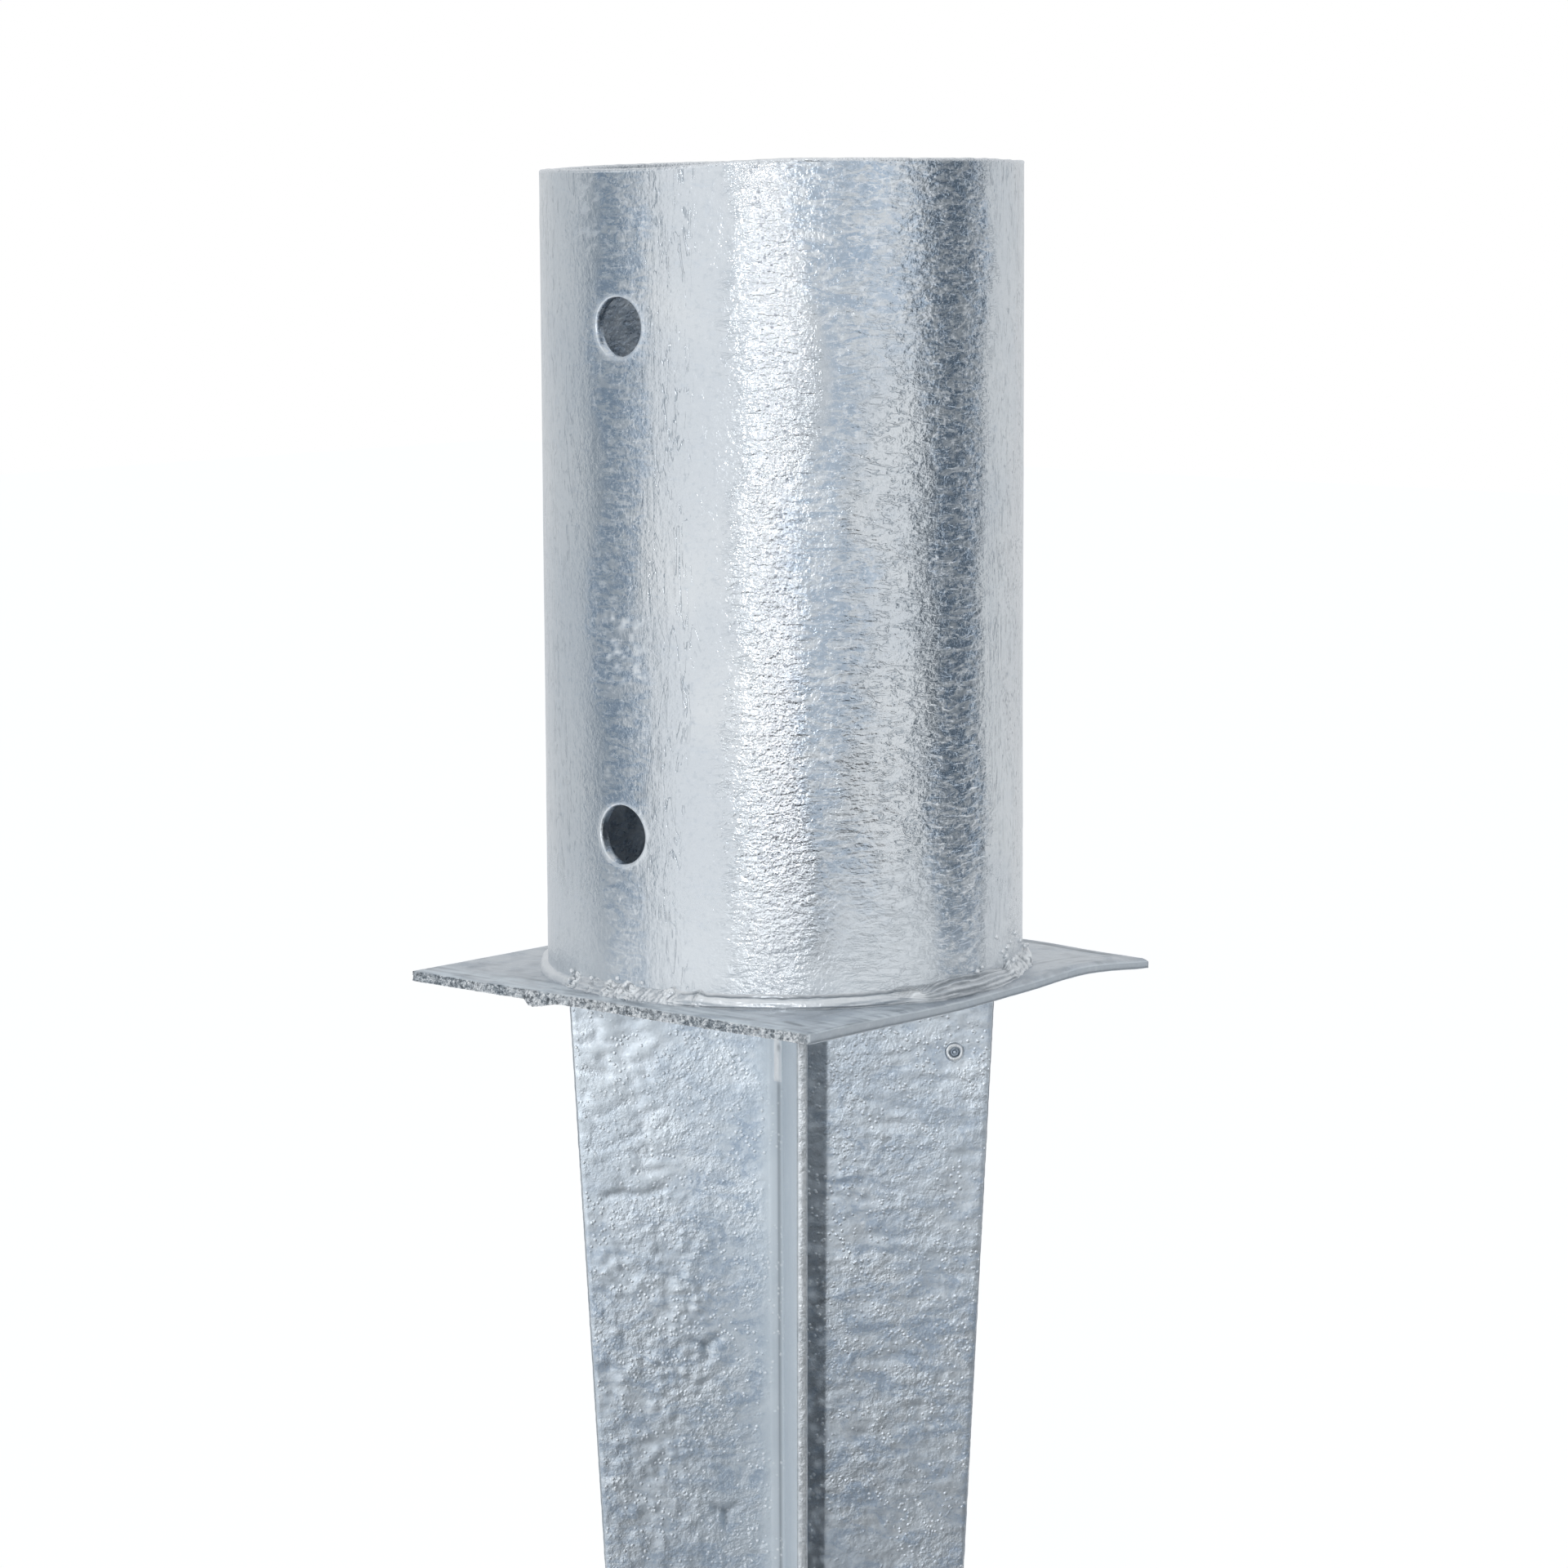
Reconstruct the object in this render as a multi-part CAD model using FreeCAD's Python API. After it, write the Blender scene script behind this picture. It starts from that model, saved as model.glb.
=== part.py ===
# Ground anchor for a round timber post: a sleeve on a square plate, over a spike with four fins.
# The sleeve stands on the plate. The spike is two folded sheets, heel to heel, under the plate.
# Origin: centre of the plate's underside, which lies on the ground once the spike is driven in.
# +Z runs up the sleeve's axis, the plate's sides lie along X and Y, and the fins lie along its diagonals.
# The front is -Y, where the bolts go in. Lengths are in millimetres and angles in degrees.
import FreeCAD
import Part
import math
import os
from FreeCAD import Vector

# Post sleeve
sleeve_outer_diameter = 90.0
sleeve_wall = 2.0
sleeve_height = 152.0
bolt_hole_diameter = 11.0
lower_bolt_height = 30.0    # above the plate's top
upper_bolt_height = 122.0   # above the plate's top

# Base plate
plate_margin = 5.0          # from the sleeve to the middle of each side
plate_thickness = 2.0
bent_corner_length = 15.0   # of the one corner that is curled down, along the diagonal
bent_corner_drop = 0.5

# Spike
sheet_thickness = 2.0
bend_inner_radius = 2.5
fin_inset = 4.3             # from the sleeve's outside in to a fin's outer edge, under the plate
fin_reach_shoulder = 11.5   # from the axis to a fin's outer edge where the point starts
fin_reach_tip = 1.5
spike_length = 596.0
point_length = 25.0

# Weld beads
sleeve_weld_leg = 2.5
sleeve_weld_swell = 0.6     # how much larger each pass is at its start
sleeve_weld_start_angle = 9.0   # how far round that swelling reaches
sleeve_weld_starts = (-55.0, 71.0, 111.0, 215.0)   # where the passes start, from -Y towards +X
fin_weld_leg = 2.5
fin_weld_length = 22.0
fin_weld_end_gap = 5.0      # from the bead's outer end to the fin's edge
seam_weld_root = 2.0        # how far from the axis the bead's root lies, between the two bends
seam_weld_toe = 0.5         # width of the bead on each fin's flat face
seam_stitch_length = 40.0
seam_stitch_count = 5
bead_bulge = 0.3            # how far a bead's face stands proud of flat

sleeve_radius = sleeve_outer_diameter / 2
plate_side = sleeve_outer_diameter + 2 * plate_margin
plate_half_diagonal = plate_side / math.sqrt(2)
fin_reach_top = sleeve_radius - fin_inset
bend_outer_radius = bend_inner_radius + sheet_thickness
outer_face_offset = bend_outer_radius * (1 - math.sqrt(0.5))    # from a diagonal to the fin's outer face
inner_face_offset = sheet_thickness - outer_face_offset         # from it to the face inside the fold
shoulder_depth = spike_length - point_length

# Each fin: its direction from +X, and the side of it (1 is anticlockwise) that its outer face is on
fins = {
    "front_right": (-45, 1),
    "back_right": (45, -1),
    "back_left": (135, 1),
    "front_left": (-135, -1),
}


def face_from(edges):
    """Flat face inside a closed run of edges."""
    return Part.Face(Part.Wire(edges))


def polygon_face(points):
    """Flat face whose outline runs straight from point to point and back to the first."""
    return Part.Face(Part.makePolygon(points + points[:1]))


def line(start, end):
    return Part.LineSegment(start, end).toShape()


def arc(start, middle, end):
    return Part.Arc(start, middle, end).toShape()


def turned(shape, angle):
    """Copy of a shape, turned about the sleeve's axis."""
    copy = shape.copy()
    copy.rotate(Vector(0, 0, 0), Vector(0, 0, 1), angle)
    return copy


def make_sleeve():
    """Tube with two bolt holes, one above the other, straight through both walls."""
    base = Vector(0, 0, plate_thickness)
    outer = Part.makeCylinder(sleeve_radius, sleeve_height, base)
    bore = Part.makeCylinder(sleeve_radius - sleeve_wall, sleeve_height, base)
    sleeve = outer.cut(bore)
    for height in (lower_bolt_height, upper_bolt_height):
        start = Vector(0, -sleeve_outer_diameter, plate_thickness + height)
        drill = Part.makeCylinder(bolt_hole_diameter / 2, 2 * sleeve_outer_diameter, start, Vector(0, 1, 0))
        sleeve = sleeve.cut(drill)
    return sleeve


def make_plate():
    """Square plate with its (+X, +Y) corner curled down, cut from a strip that runs along that diagonal."""
    curl_start = plate_half_diagonal - bent_corner_length
    curl_radius = bent_corner_length ** 2 / (2 * bent_corner_drop)
    curl_centre = Vector(curl_start, 0, -curl_radius)
    # a little past the corner, so that the square cuts the curl off
    curl_angle = math.asin(1.2 * bent_corner_length / curl_radius)

    def curl_point(radius, angle):
        return curl_centre + Vector(radius * math.sin(angle), 0, radius * math.cos(angle))

    top_radius = curl_radius + plate_thickness
    far_end = -1.2 * plate_half_diagonal
    top_far = Vector(far_end, 0, plate_thickness)
    under_far = Vector(far_end, 0, 0)
    top_arc = [curl_point(top_radius, share * curl_angle) for share in (0, 0.5, 1)]
    under_arc = [curl_point(curl_radius, share * curl_angle) for share in (1, 0.5, 0)]
    profile = face_from([
        line(top_far, top_arc[0]),
        arc(*top_arc),
        line(top_arc[2], under_arc[0]),
        arc(*under_arc),
        line(under_arc[2], under_far),
        line(under_far, top_far),
    ])
    profile.translate(Vector(0, -1.2 * plate_half_diagonal, 0))
    strip = turned(profile.extrude(Vector(0, 2.4 * plate_half_diagonal, 0)), 45)
    height = plate_thickness + 4 * bent_corner_drop
    square = Part.makeBox(plate_side, plate_side, 2 * height, Vector(-plate_side / 2, -plate_side / 2, -height))
    return strip.common(square)


def bead_face(corner, across, up, leg):
    """Section of a fillet bead: two legs from the corner along two directions, and a crowned face."""
    toe_across = corner + across * leg
    toe_up = corner + up * leg
    outward = (across + up).normalize()
    crown = (toe_across + toe_up) * 0.5 + outward * bead_bulge
    return polygon_face([corner, toe_across, crown, toe_up])


def make_sleeve_weld():
    """Bead round the sleeve's foot, in passes that each start with a swelling over the last one's end."""
    corner = Vector(sleeve_radius, 0, plate_thickness)
    axis = Vector(0, 0, 1)
    section = bead_face(corner, Vector(1, 0, 0), axis, sleeve_weld_leg)
    bead = section.revolve(Vector(0, 0, 0), axis, 360)
    swollen_section = bead_face(corner, Vector(1, 0, 0), axis, sleeve_weld_leg + sleeve_weld_swell)
    swelling = swollen_section.revolve(Vector(0, 0, 0), axis, sleeve_weld_start_angle)
    for start in sleeve_weld_starts:
        bead = bead.fuse(turned(swelling, start - 90 - sleeve_weld_start_angle / 2))
    return bead.removeSplitter()


def fin_blank():
    """Tall prism across a fin that lies along +X, with the taper and the point of its outer edge."""
    inside = -2 * bend_outer_radius
    face = polygon_face([
        Vector(inside, inside, 0),
        Vector(fin_reach_top, inside, 0),
        Vector(fin_reach_shoulder, inside, -shoulder_depth),
        Vector(fin_reach_tip, inside, -spike_length),
        Vector(inside, inside, -spike_length),
    ])
    return face.extrude(Vector(0, 2 * fin_reach_top - inside, 0))


def make_spike_angle():
    """Sheet folded square, with its legs along +X and +Y and the heel of its bend on the axis."""
    bend = bend_outer_radius * math.sqrt(0.5)
    centre = Vector(bend, bend, 0)
    reach = 1.5 * fin_reach_top
    middle_out = Vector(0, 0, 0)
    middle_in = centre - Vector(1, 1, 0).normalize() * bend_inner_radius
    x_end_out = Vector(reach, -outer_face_offset, 0)
    x_end_in = Vector(reach, inner_face_offset, 0)
    y_end_out = Vector(-outer_face_offset, reach, 0)
    y_end_in = Vector(inner_face_offset, reach, 0)
    x_bend_out = Vector(bend, -outer_face_offset, 0)
    x_bend_in = Vector(bend, inner_face_offset, 0)
    y_bend_out = Vector(-outer_face_offset, bend, 0)
    y_bend_in = Vector(inner_face_offset, bend, 0)
    section = face_from([
        line(x_end_out, x_bend_out),
        arc(x_bend_out, middle_out, y_bend_out),
        line(y_bend_out, y_end_out),
        line(y_end_out, y_end_in),
        line(y_end_in, y_bend_in),
        arc(y_bend_in, middle_in, x_bend_in),
        line(x_bend_in, x_end_in),
        line(x_end_in, x_end_out),
    ])
    sheet = section.extrude(Vector(0, 0, -spike_length))
    along_x = fin_blank()
    along_y = along_x.mirror(Vector(0, 0, 0), Vector(1, -1, 0).normalize())
    return sheet.common(along_x).common(along_y)


def seam_stitch():
    """Bead in the groove that opens towards +X between the two heels, with sloping ends."""
    def on_heel(angle):
        turn = math.radians(angle)
        return Vector(bend_outer_radius * math.sin(turn), bend_outer_radius * (math.cos(turn) - 1), 0)

    root_angle = math.degrees(math.asin(seam_weld_root / bend_outer_radius))
    root = on_heel(root_angle)
    flank = on_heel((root_angle + 45) / 2)
    tangent = on_heel(45)
    toe = tangent + Vector(1, -1, 0).normalize() * seam_weld_toe

    def across(point):
        return Vector(point.x, -point.y, 0)

    crown = Vector(toe.x + bead_bulge, 0, 0)
    section = face_from([
        arc(root, flank, tangent),
        line(tangent, toe),
        line(toe, crown),
        line(crown, across(toe)),
        line(across(toe), across(tangent)),
        arc(across(tangent), across(flank), across(root)),
        line(across(root), root),
    ])
    bead = section.extrude(Vector(0, 0, -seam_stitch_length))
    slope = crown.x - seam_weld_root
    back = -bend_outer_radius
    side = polygon_face([
        Vector(seam_weld_root, back, 0),
        Vector(crown.x, back, -slope),
        Vector(crown.x, back, slope - seam_stitch_length),
        Vector(seam_weld_root, back, -seam_stitch_length),
    ])
    return bead.common(side.extrude(Vector(0, 2 * bend_outer_radius, 0)))


def make_seam_welds(angle):
    """Row of separate stitches down one of the spike's two seams, evenly spaced above the point."""
    pitch = shoulder_depth / seam_stitch_count
    stitches = []
    for index in range(seam_stitch_count):
        stitch = seam_stitch()
        stitch.translate(Vector(0, 0, -(index + 0.5) * pitch + seam_stitch_length / 2))
        stitches.append(turned(stitch, angle))
    return Part.makeCompound(stitches)


def fin_bead(side):
    """Bead under the plate along one face of a fin that lies along +X, with sloping ends."""
    across = Vector(0, side, 0)
    down = Vector(0, 0, -1)
    outer_end = Vector(fin_reach_top - fin_weld_end_gap, 0, 0)
    inner_end = outer_end - Vector(fin_weld_length, 0, 0)
    slope = Vector(fin_weld_leg, 0, 0)
    section = bead_face(inner_end, across, down, fin_weld_leg)
    bead = section.extrude(outer_end - inner_end)
    plan = polygon_face([
        inner_end,
        outer_end,
        outer_end - slope + across * fin_weld_leg,
        inner_end + slope + across * fin_weld_leg,
    ])
    return bead.common(plan.extrude(down * fin_weld_leg))


def make_fin_welds(angle, outer_side):
    """Two beads that hold one fin to the plate's underside, one on each face."""
    beads = []
    for side in (1, -1):
        offset = outer_face_offset if side == outer_side else inner_face_offset
        bead = fin_bead(side)
        bead.translate(Vector(0, side * offset, 0))
        beads.append(turned(bead, angle))
    return Part.makeCompound(beads)


def make_parts():
    spike_angle = make_spike_angle()
    parts = {
        "post_sleeve": make_sleeve(),
        "base_plate": make_plate(),
        "sleeve_weld": make_sleeve_weld(),
        "front_spike_angle": turned(spike_angle, -135),
        "rear_spike_angle": turned(spike_angle, 45),
        "seam_welds_right": make_seam_welds(0),
        "seam_welds_left": make_seam_welds(180),
    }
    for name, (angle, outer_side) in fins.items():
        parts["fin_welds_" + name] = make_fin_welds(angle, outer_side)
    return parts


os.makedirs("parts", exist_ok=True)
for node, shape in make_parts().items():
    shape.exportStep("parts/" + node + ".step")
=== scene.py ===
import bpy
import math
import numpy as np
from mathutils import Matrix, Vector


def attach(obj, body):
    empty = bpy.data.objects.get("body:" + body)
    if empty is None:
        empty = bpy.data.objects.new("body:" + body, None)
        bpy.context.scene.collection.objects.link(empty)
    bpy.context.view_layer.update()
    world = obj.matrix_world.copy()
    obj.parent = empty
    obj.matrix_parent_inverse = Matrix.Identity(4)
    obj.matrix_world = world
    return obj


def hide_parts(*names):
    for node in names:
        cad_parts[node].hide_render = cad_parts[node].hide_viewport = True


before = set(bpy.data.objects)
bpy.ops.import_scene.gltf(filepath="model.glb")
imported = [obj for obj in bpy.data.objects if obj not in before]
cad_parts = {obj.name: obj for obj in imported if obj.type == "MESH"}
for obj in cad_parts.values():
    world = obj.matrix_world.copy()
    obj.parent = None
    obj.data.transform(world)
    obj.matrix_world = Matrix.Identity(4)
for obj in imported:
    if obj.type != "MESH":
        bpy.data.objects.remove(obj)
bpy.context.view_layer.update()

# Lengths are in millimetres until a mesh is made, and angles are in degrees.
MM = 0.001

# Where the photograph was taken from. Azimuth 0 looks along +Y, and 90 along -X.
CAMERA_AZIMUTH = 41.22
CAMERA_PLACE = (570.85, -651.75, 155.52)
CAMERA_PITCH = 7.818
CAMERA_ROLL = -0.264
CAMERA_LENS = 106.18

# Sizes repeated from the CAD source
SLEEVE_RADIUS = 45.0
SLEEVE_BORE = 43.0
SLEEVE_FOOT = 2.0
SLEEVE_TOP = 154.0
HOLE_HEIGHTS = (32.0, 124.0)
PLATE_HALF = 50.0
PLATE_TOP = 2.0
BEND_OUTER = 4.5
BEND_INNER = 2.5
FACE_OUT = 1.318
FACE_IN = 0.682
REACH_TOP = 40.7
REACH_SHOULDER = 11.5
REACH_TIP = 1.5
SPIKE_LENGTH = 596.0
POINT_LENGTH = 25.0
BEND_TANGENT = BEND_OUTER * math.sqrt(0.5)


# Small maths

def smooth(low, high, x):
    """0 below low, 1 above high, and an even curve between."""
    t = np.clip((x - low) / (high - low), 0.0, 1.0)
    return t * t * (3.0 - 2.0 * t)


def fall(low, high, x):
    """1 below low, 0 above high, and an even curve between."""
    return 1.0 - smooth(low, high, x)


def around(x, centre, half, edge):
    """1 within half of the centre, and 0 from edge further out."""
    return fall(half, half + edge, np.abs(x - centre))


def between(x, low, risen, high, gone):
    """Rises from 0 at low to 1 at risen, and falls from 1 at high to 0 at gone."""
    return smooth(low, risen, x) * fall(high, gone, x)


def hump(x, centre, width):
    """Bell curve of height 1."""
    return np.exp(-((x - centre) / width) ** 2)


def wrapped(angle):
    """The same angle, in -180..180."""
    return (angle + 180.0) % 360.0 - 180.0


def arc_length(angle, radius=SLEEVE_RADIUS):
    """Length of a circle's arc, by default round the sleeve's outside."""
    return angle / 360.0 * 2.0 * np.pi * radius


def hashed(ix, iy, seed):
    """A repeatable number in 0..1 for each point of a whole-numbered lattice."""
    n = (ix * 73856093) ^ (iy * 19349663) ^ (seed * 83492791)
    n = n & 0xFFFFFFFF
    n = ((n ^ (n >> 15)) * 2246822519) & 0xFFFFFFFF
    n = ((n ^ (n >> 13)) * 3266489917) & 0xFFFFFFFF
    n = n ^ (n >> 16)
    return (n & 0xFFFFFF) / float(0xFFFFFF)


def noise(x, y, seed, period=None):
    """Smooth noise, about -1..1. It repeats along x after that many cells, where period is given."""
    ix = np.floor(x).astype(np.int64)
    iy = np.floor(y).astype(np.int64)
    fx = x - ix
    fy = y - iy
    ux = fx * fx * fx * (fx * (fx * 6.0 - 15.0) + 10.0)
    uy = fy * fy * fy * (fy * (fy * 6.0 - 15.0) + 10.0)
    total = np.zeros(np.broadcast(x, y).shape)
    for dx in (0, 1):
        cx = (ix + dx) % period if period else ix + dx
        wx = ux if dx else 1.0 - ux
        for dy in (0, 1):
            turn = 2.0 * np.pi * hashed(cx, iy + dy, seed)
            slope = np.cos(turn) * (fx - dx) + np.sin(turn) * (fy - dy)
            total = total + slope * wx * (uy if dy else 1.0 - uy)
    return 1.5 * total


def fractal(x, y, seed, octaves=3, period=None):
    """Noise in octaves, each twice as fine and half as high as the one before."""
    total = 0.0
    for i in range(octaves):
        scale = 2 ** i
        total = total + noise(x * scale, y * scale, seed + i, period * scale if period else None) / scale
    return total


def pimples(x, y, seed, share, period=None):
    """Round bumps, 0..1, at most one in each cell of a jittered grid, and in that share of the cells."""
    ix = np.floor(x).astype(np.int64)
    iy = np.floor(y).astype(np.int64)
    best = np.zeros(np.broadcast(x, y).shape)
    for dx in (-1, 0, 1):
        for dy in (-1, 0, 1):
            cx = (ix + dx) % period if period else ix + dx
            cy = iy + dy
            px = ix + dx + 0.15 + 0.7 * hashed(cx, cy, seed)
            py = cy + 0.15 + 0.7 * hashed(cx, cy, seed + 1)
            size = 0.22 + 0.26 * hashed(cx, cy, seed + 2)
            high = 0.4 + 0.6 * hashed(cx, cy, seed + 3)
            there = hashed(cx, cy, seed + 4) < share
            away = ((x - px) ** 2 + (y - py) ** 2) / size ** 2
            best = np.maximum(best, np.where(there, high * np.exp(-away), 0.0))
    return best


def spot(x, y, px, py, size):
    """One round bump."""
    return np.exp(-((x - px) ** 2 + (y - py) ** 2) / size ** 2)


# Camera

def link(name, data):
    """A new object of the scene."""
    obj = bpy.data.objects.new(name, data)
    bpy.context.scene.collection.objects.link(obj)
    return obj


def add_camera():
    azimuth = math.radians(CAMERA_AZIMUTH)
    pitch = math.radians(CAMERA_PITCH)
    roll = math.radians(CAMERA_ROLL)
    level = Vector((-math.sin(azimuth), math.cos(azimuth), 0.0))
    ahead = level * math.cos(pitch) + Vector((0.0, 0.0, -math.sin(pitch)))
    right = Vector((math.cos(azimuth), math.sin(azimuth), 0.0))
    up = right.cross(ahead)
    rolled_right = right * math.cos(roll) + up * math.sin(roll)
    rolled_up = up * math.cos(roll) - right * math.sin(roll)
    turn = Matrix((rolled_right, rolled_up, -ahead)).transposed().to_4x4()
    data = bpy.data.cameras.new("photo_camera")
    data.lens = CAMERA_LENS
    data.sensor_width = 36.0
    data.clip_start = 0.01
    camera = link("photo_camera", data)
    camera.matrix_world = Matrix.Translation(Vector(CAMERA_PLACE) * MM) @ turn
    bpy.context.scene.camera = camera


# Shader nodes

class Signal:
    """A shader socket that can stand in a sum, which is then made of Math nodes."""

    def __init__(self, nodes, socket):
        self.nodes = nodes
        self.socket = socket

    def __add__(self, other):
        return self.nodes.math("ADD", self, other)

    def __radd__(self, other):
        return self.nodes.math("ADD", other, self)

    def __sub__(self, other):
        return self.nodes.math("SUBTRACT", self, other)

    def __rsub__(self, other):
        return self.nodes.math("SUBTRACT", other, self)

    def __mul__(self, other):
        return self.nodes.math("MULTIPLY", self, other)

    def __abs__(self):
        return self.nodes.math("ABSOLUTE", self)

    def clamped(self):
        """Holds the last node's result within 0..1."""
        self.socket.node.use_clamp = True
        return self


class Nodes:
    """Short ways to add and join shader nodes. Colours are given as red, green and blue."""

    def __init__(self, tree):
        self.tree = tree
        tree.nodes.clear()

    def put(self, socket, value):
        """Joins a signal to an input, or sets the input's value."""
        if isinstance(value, Signal):
            self.tree.links.new(value.socket, socket)
        elif socket.type == "RGBA":
            socket.default_value = tuple(value) + (1.0,)
        else:
            socket.default_value = value

    def add(self, kind, output, inputs, **settings):
        """One output of a new node."""
        node = self.tree.nodes.new(kind)
        for label, value in settings.items():
            setattr(node, label, value)
        for label, value in inputs.items():
            self.put(node.inputs[label], value)
        return Signal(self, node.outputs[output])

    def end(self, kind, surface):
        """Joins a shader to the tree's own output."""
        self.put(self.tree.nodes.new(kind).inputs["Surface"], surface)

    def math(self, operation, a, b=0.0):
        return self.add("ShaderNodeMath", 0, {0: a, 1: b}, operation=operation)

    def larger(self, a, b):
        return self.math("MAXIMUM", a, b)

    def tint(self, share, a, b):
        """Plain blend of two colours."""
        return self.add("ShaderNodeMix", 2, {"Factor": share, 6: a, 7: b}, data_type="RGBA")

    def coated(self, colour, *coats):
        """Blends one colour over another, each by its own share."""
        for share, coat in coats:
            colour = self.tint(share, colour, coat)
        return colour

    def step(self, value, low, high):
        """0 below low and 1 above high."""
        inputs = {"Value": value, "From Min": low, "From Max": high}
        return self.add("ShaderNodeMapRange", "Result", inputs, interpolation_type="SMOOTHSTEP")

    def stretched(self, place, across, along):
        """Coordinates scaled the same across X and Y, and otherwise along Z."""
        return self.add("ShaderNodeMapping", "Vector", {"Vector": place, "Scale": (across, across, along)})

    def noise(self, place, scale, detail=2.0, roughness=0.5, twist=0.0):
        inputs = {"Vector": place, "Scale": scale, "Detail": detail, "Roughness": roughness}
        inputs["Distortion"] = twist
        return self.add("ShaderNodeTexNoise", "Fac", inputs)

    def away(self, place, point):
        """Distance from a point given in millimetres."""
        inputs = {0: place, 1: [value * MM for value in point]}
        return self.add("ShaderNodeVectorMath", "Value", inputs, operation="DISTANCE")

    def cells(self, place, scale):
        return self.add("ShaderNodeTexVoronoi", "Distance", {"Vector": place, "Scale": scale})

    def attribute(self, name):
        return self.add("ShaderNodeAttribute", "Fac", {}, attribute_name=name)

    def bump(self, height, distance, normal=None):
        inputs = {"Strength": 1.0, "Distance": distance, "Height": height}
        if normal is not None:
            inputs["Normal"] = normal
        return self.add("ShaderNodeBump", "Normal", inputs)

    def metal(self, colour, metallic, rough, normal):
        inputs = {"Base Color": colour, "Metallic": metallic, "Roughness": rough, "Normal": normal}
        self.end("ShaderNodeOutputMaterial", self.add("ShaderNodeBsdfPrincipled", "BSDF", inputs))


def new_material(name):
    material = bpy.data.materials.new(name)
    material.use_nodes = True
    return material, Nodes(material.node_tree)


def zinc(name, pale, dull, blue, skin, leather=(0.012, 1500.0), shine=0.30, mottle=0.5, smear=1.0,
         patch_scale=34.0, specks=0.0, grit=0.0, ring=None, bloom_and_sheen=(0.69, 0.75, 0.79)):
    """Hot-dip zinc: three tones in patches, smears and mottles, over a leathery skin.
    skin and leather are a height in millimetres and a scale, specks is a height, ring is the place of
    a ring-shaped dimple, and bloom is the colour of the pale oxide, which also paints highlights and light."""
    material, n = new_material(name)
    place = n.add("ShaderNodeTexCoord", "Object", {})
    smeared = n.noise(n.stretched(place, 1.0, smear), 125.0, 6.0, 0.66, 0.8)
    fine = n.noise(place, 900.0, 3.0, 0.65)
    patch = n.step(n.noise(place, patch_scale, 4.0, 0.6, 0.5), 0.36, 0.64)
    smudge = n.step(smeared, 0.44, 0.66) * (n.attribute("cold") + mottle).clamped()
    smudge = (smudge * (0.45 + n.step(fine, 0.40, 0.56))).clamped()
    bent = n.attribute("bent")
    # pale oxide, and in places painted highlights and painted light
    oxide_and_light = n.attribute("stain")
    colour = n.coated(n.tint(patch, pale, dull), (smudge, blue),
                      (n.step(fine, 0.50, 0.72) * 0.30, (0.84, 0.87, 0.90)),
                      (n.step(fine, 0.46, 0.30) * 0.25, blue))
    if grit:
        torn = n.noise(place, 1250.0, 3.0, 0.7, 0.4)
        grain = n.attribute("torn") * grit
        colour = n.coated(colour, (n.step(torn, 0.48, 0.37) * grain, (0.12, 0.135, 0.15)),
                          (n.step(torn, 0.49, 0.58) * grain, (0.95, 0.97, 0.98)))
    # The dark tone is real dirt and marks, and painted shade in creases, hollows, under edges and where the
    # front fin casts its shadow. The bend's darker tint is painted shade too.
    colour = n.coated(colour, (oxide_and_light, bloom_and_sheen), (n.attribute("grime"), (0.20, 0.23, 0.26)),
                      (bent * 0.16, (0.46, 0.51, 0.55)))
    rough = smudge * 0.08 + patch * 0.05 + fine * 0.12 + (shine - 0.04) + n.larger(bent, oxide_and_light) * 0.22
    calm = (1.0 - bent * 0.8) * (0.35 + n.step(n.noise(place, 70.0, 3.0, 0.6), 0.38, 0.62))
    normal = n.bump(n.noise(place, skin[1], 3.0, 0.55, 0.3) * calm, skin[0] * MM)
    if specks:
        # raised specks tinted near white: pale zinc specks, and a painted glint on each
        specks_and_glints = n.step(n.cells(place, 950.0), 0.40, 0.10) * n.step(n.noise(place, 260.0, 2.0, 0.6), 0.46, 0.58)
        colour = n.tint(specks_and_glints * 0.45, colour, (0.90, 0.93, 0.95))
        normal = n.bump(specks_and_glints, specks * MM, normal)
    normal = n.bump(n.noise(place, leather[1], 2.0, 0.6) * calm, leather[0] * MM, normal)
    if ring:
        away = n.away(place, ring) + n.noise(place, 500.0, 2.0, 0.6) * (0.4 * MM)
        lip = n.step(abs(away - 1.55 * MM), 0.60 * MM, 0.10 * MM)
        pit = n.step(abs(away - 0.80 * MM), 0.42 * MM, 0.10 * MM)
        normal = n.bump(lip - pit, 0.30 * MM, normal)
        colour = n.coated(colour, (lip * 0.70, (0.95, 0.97, 0.98)), (pit * 0.75, (0.22, 0.27, 0.33)))
    n.metal(colour, 1.0 - oxide_and_light * 0.85, rough, normal)
    return material


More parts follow.
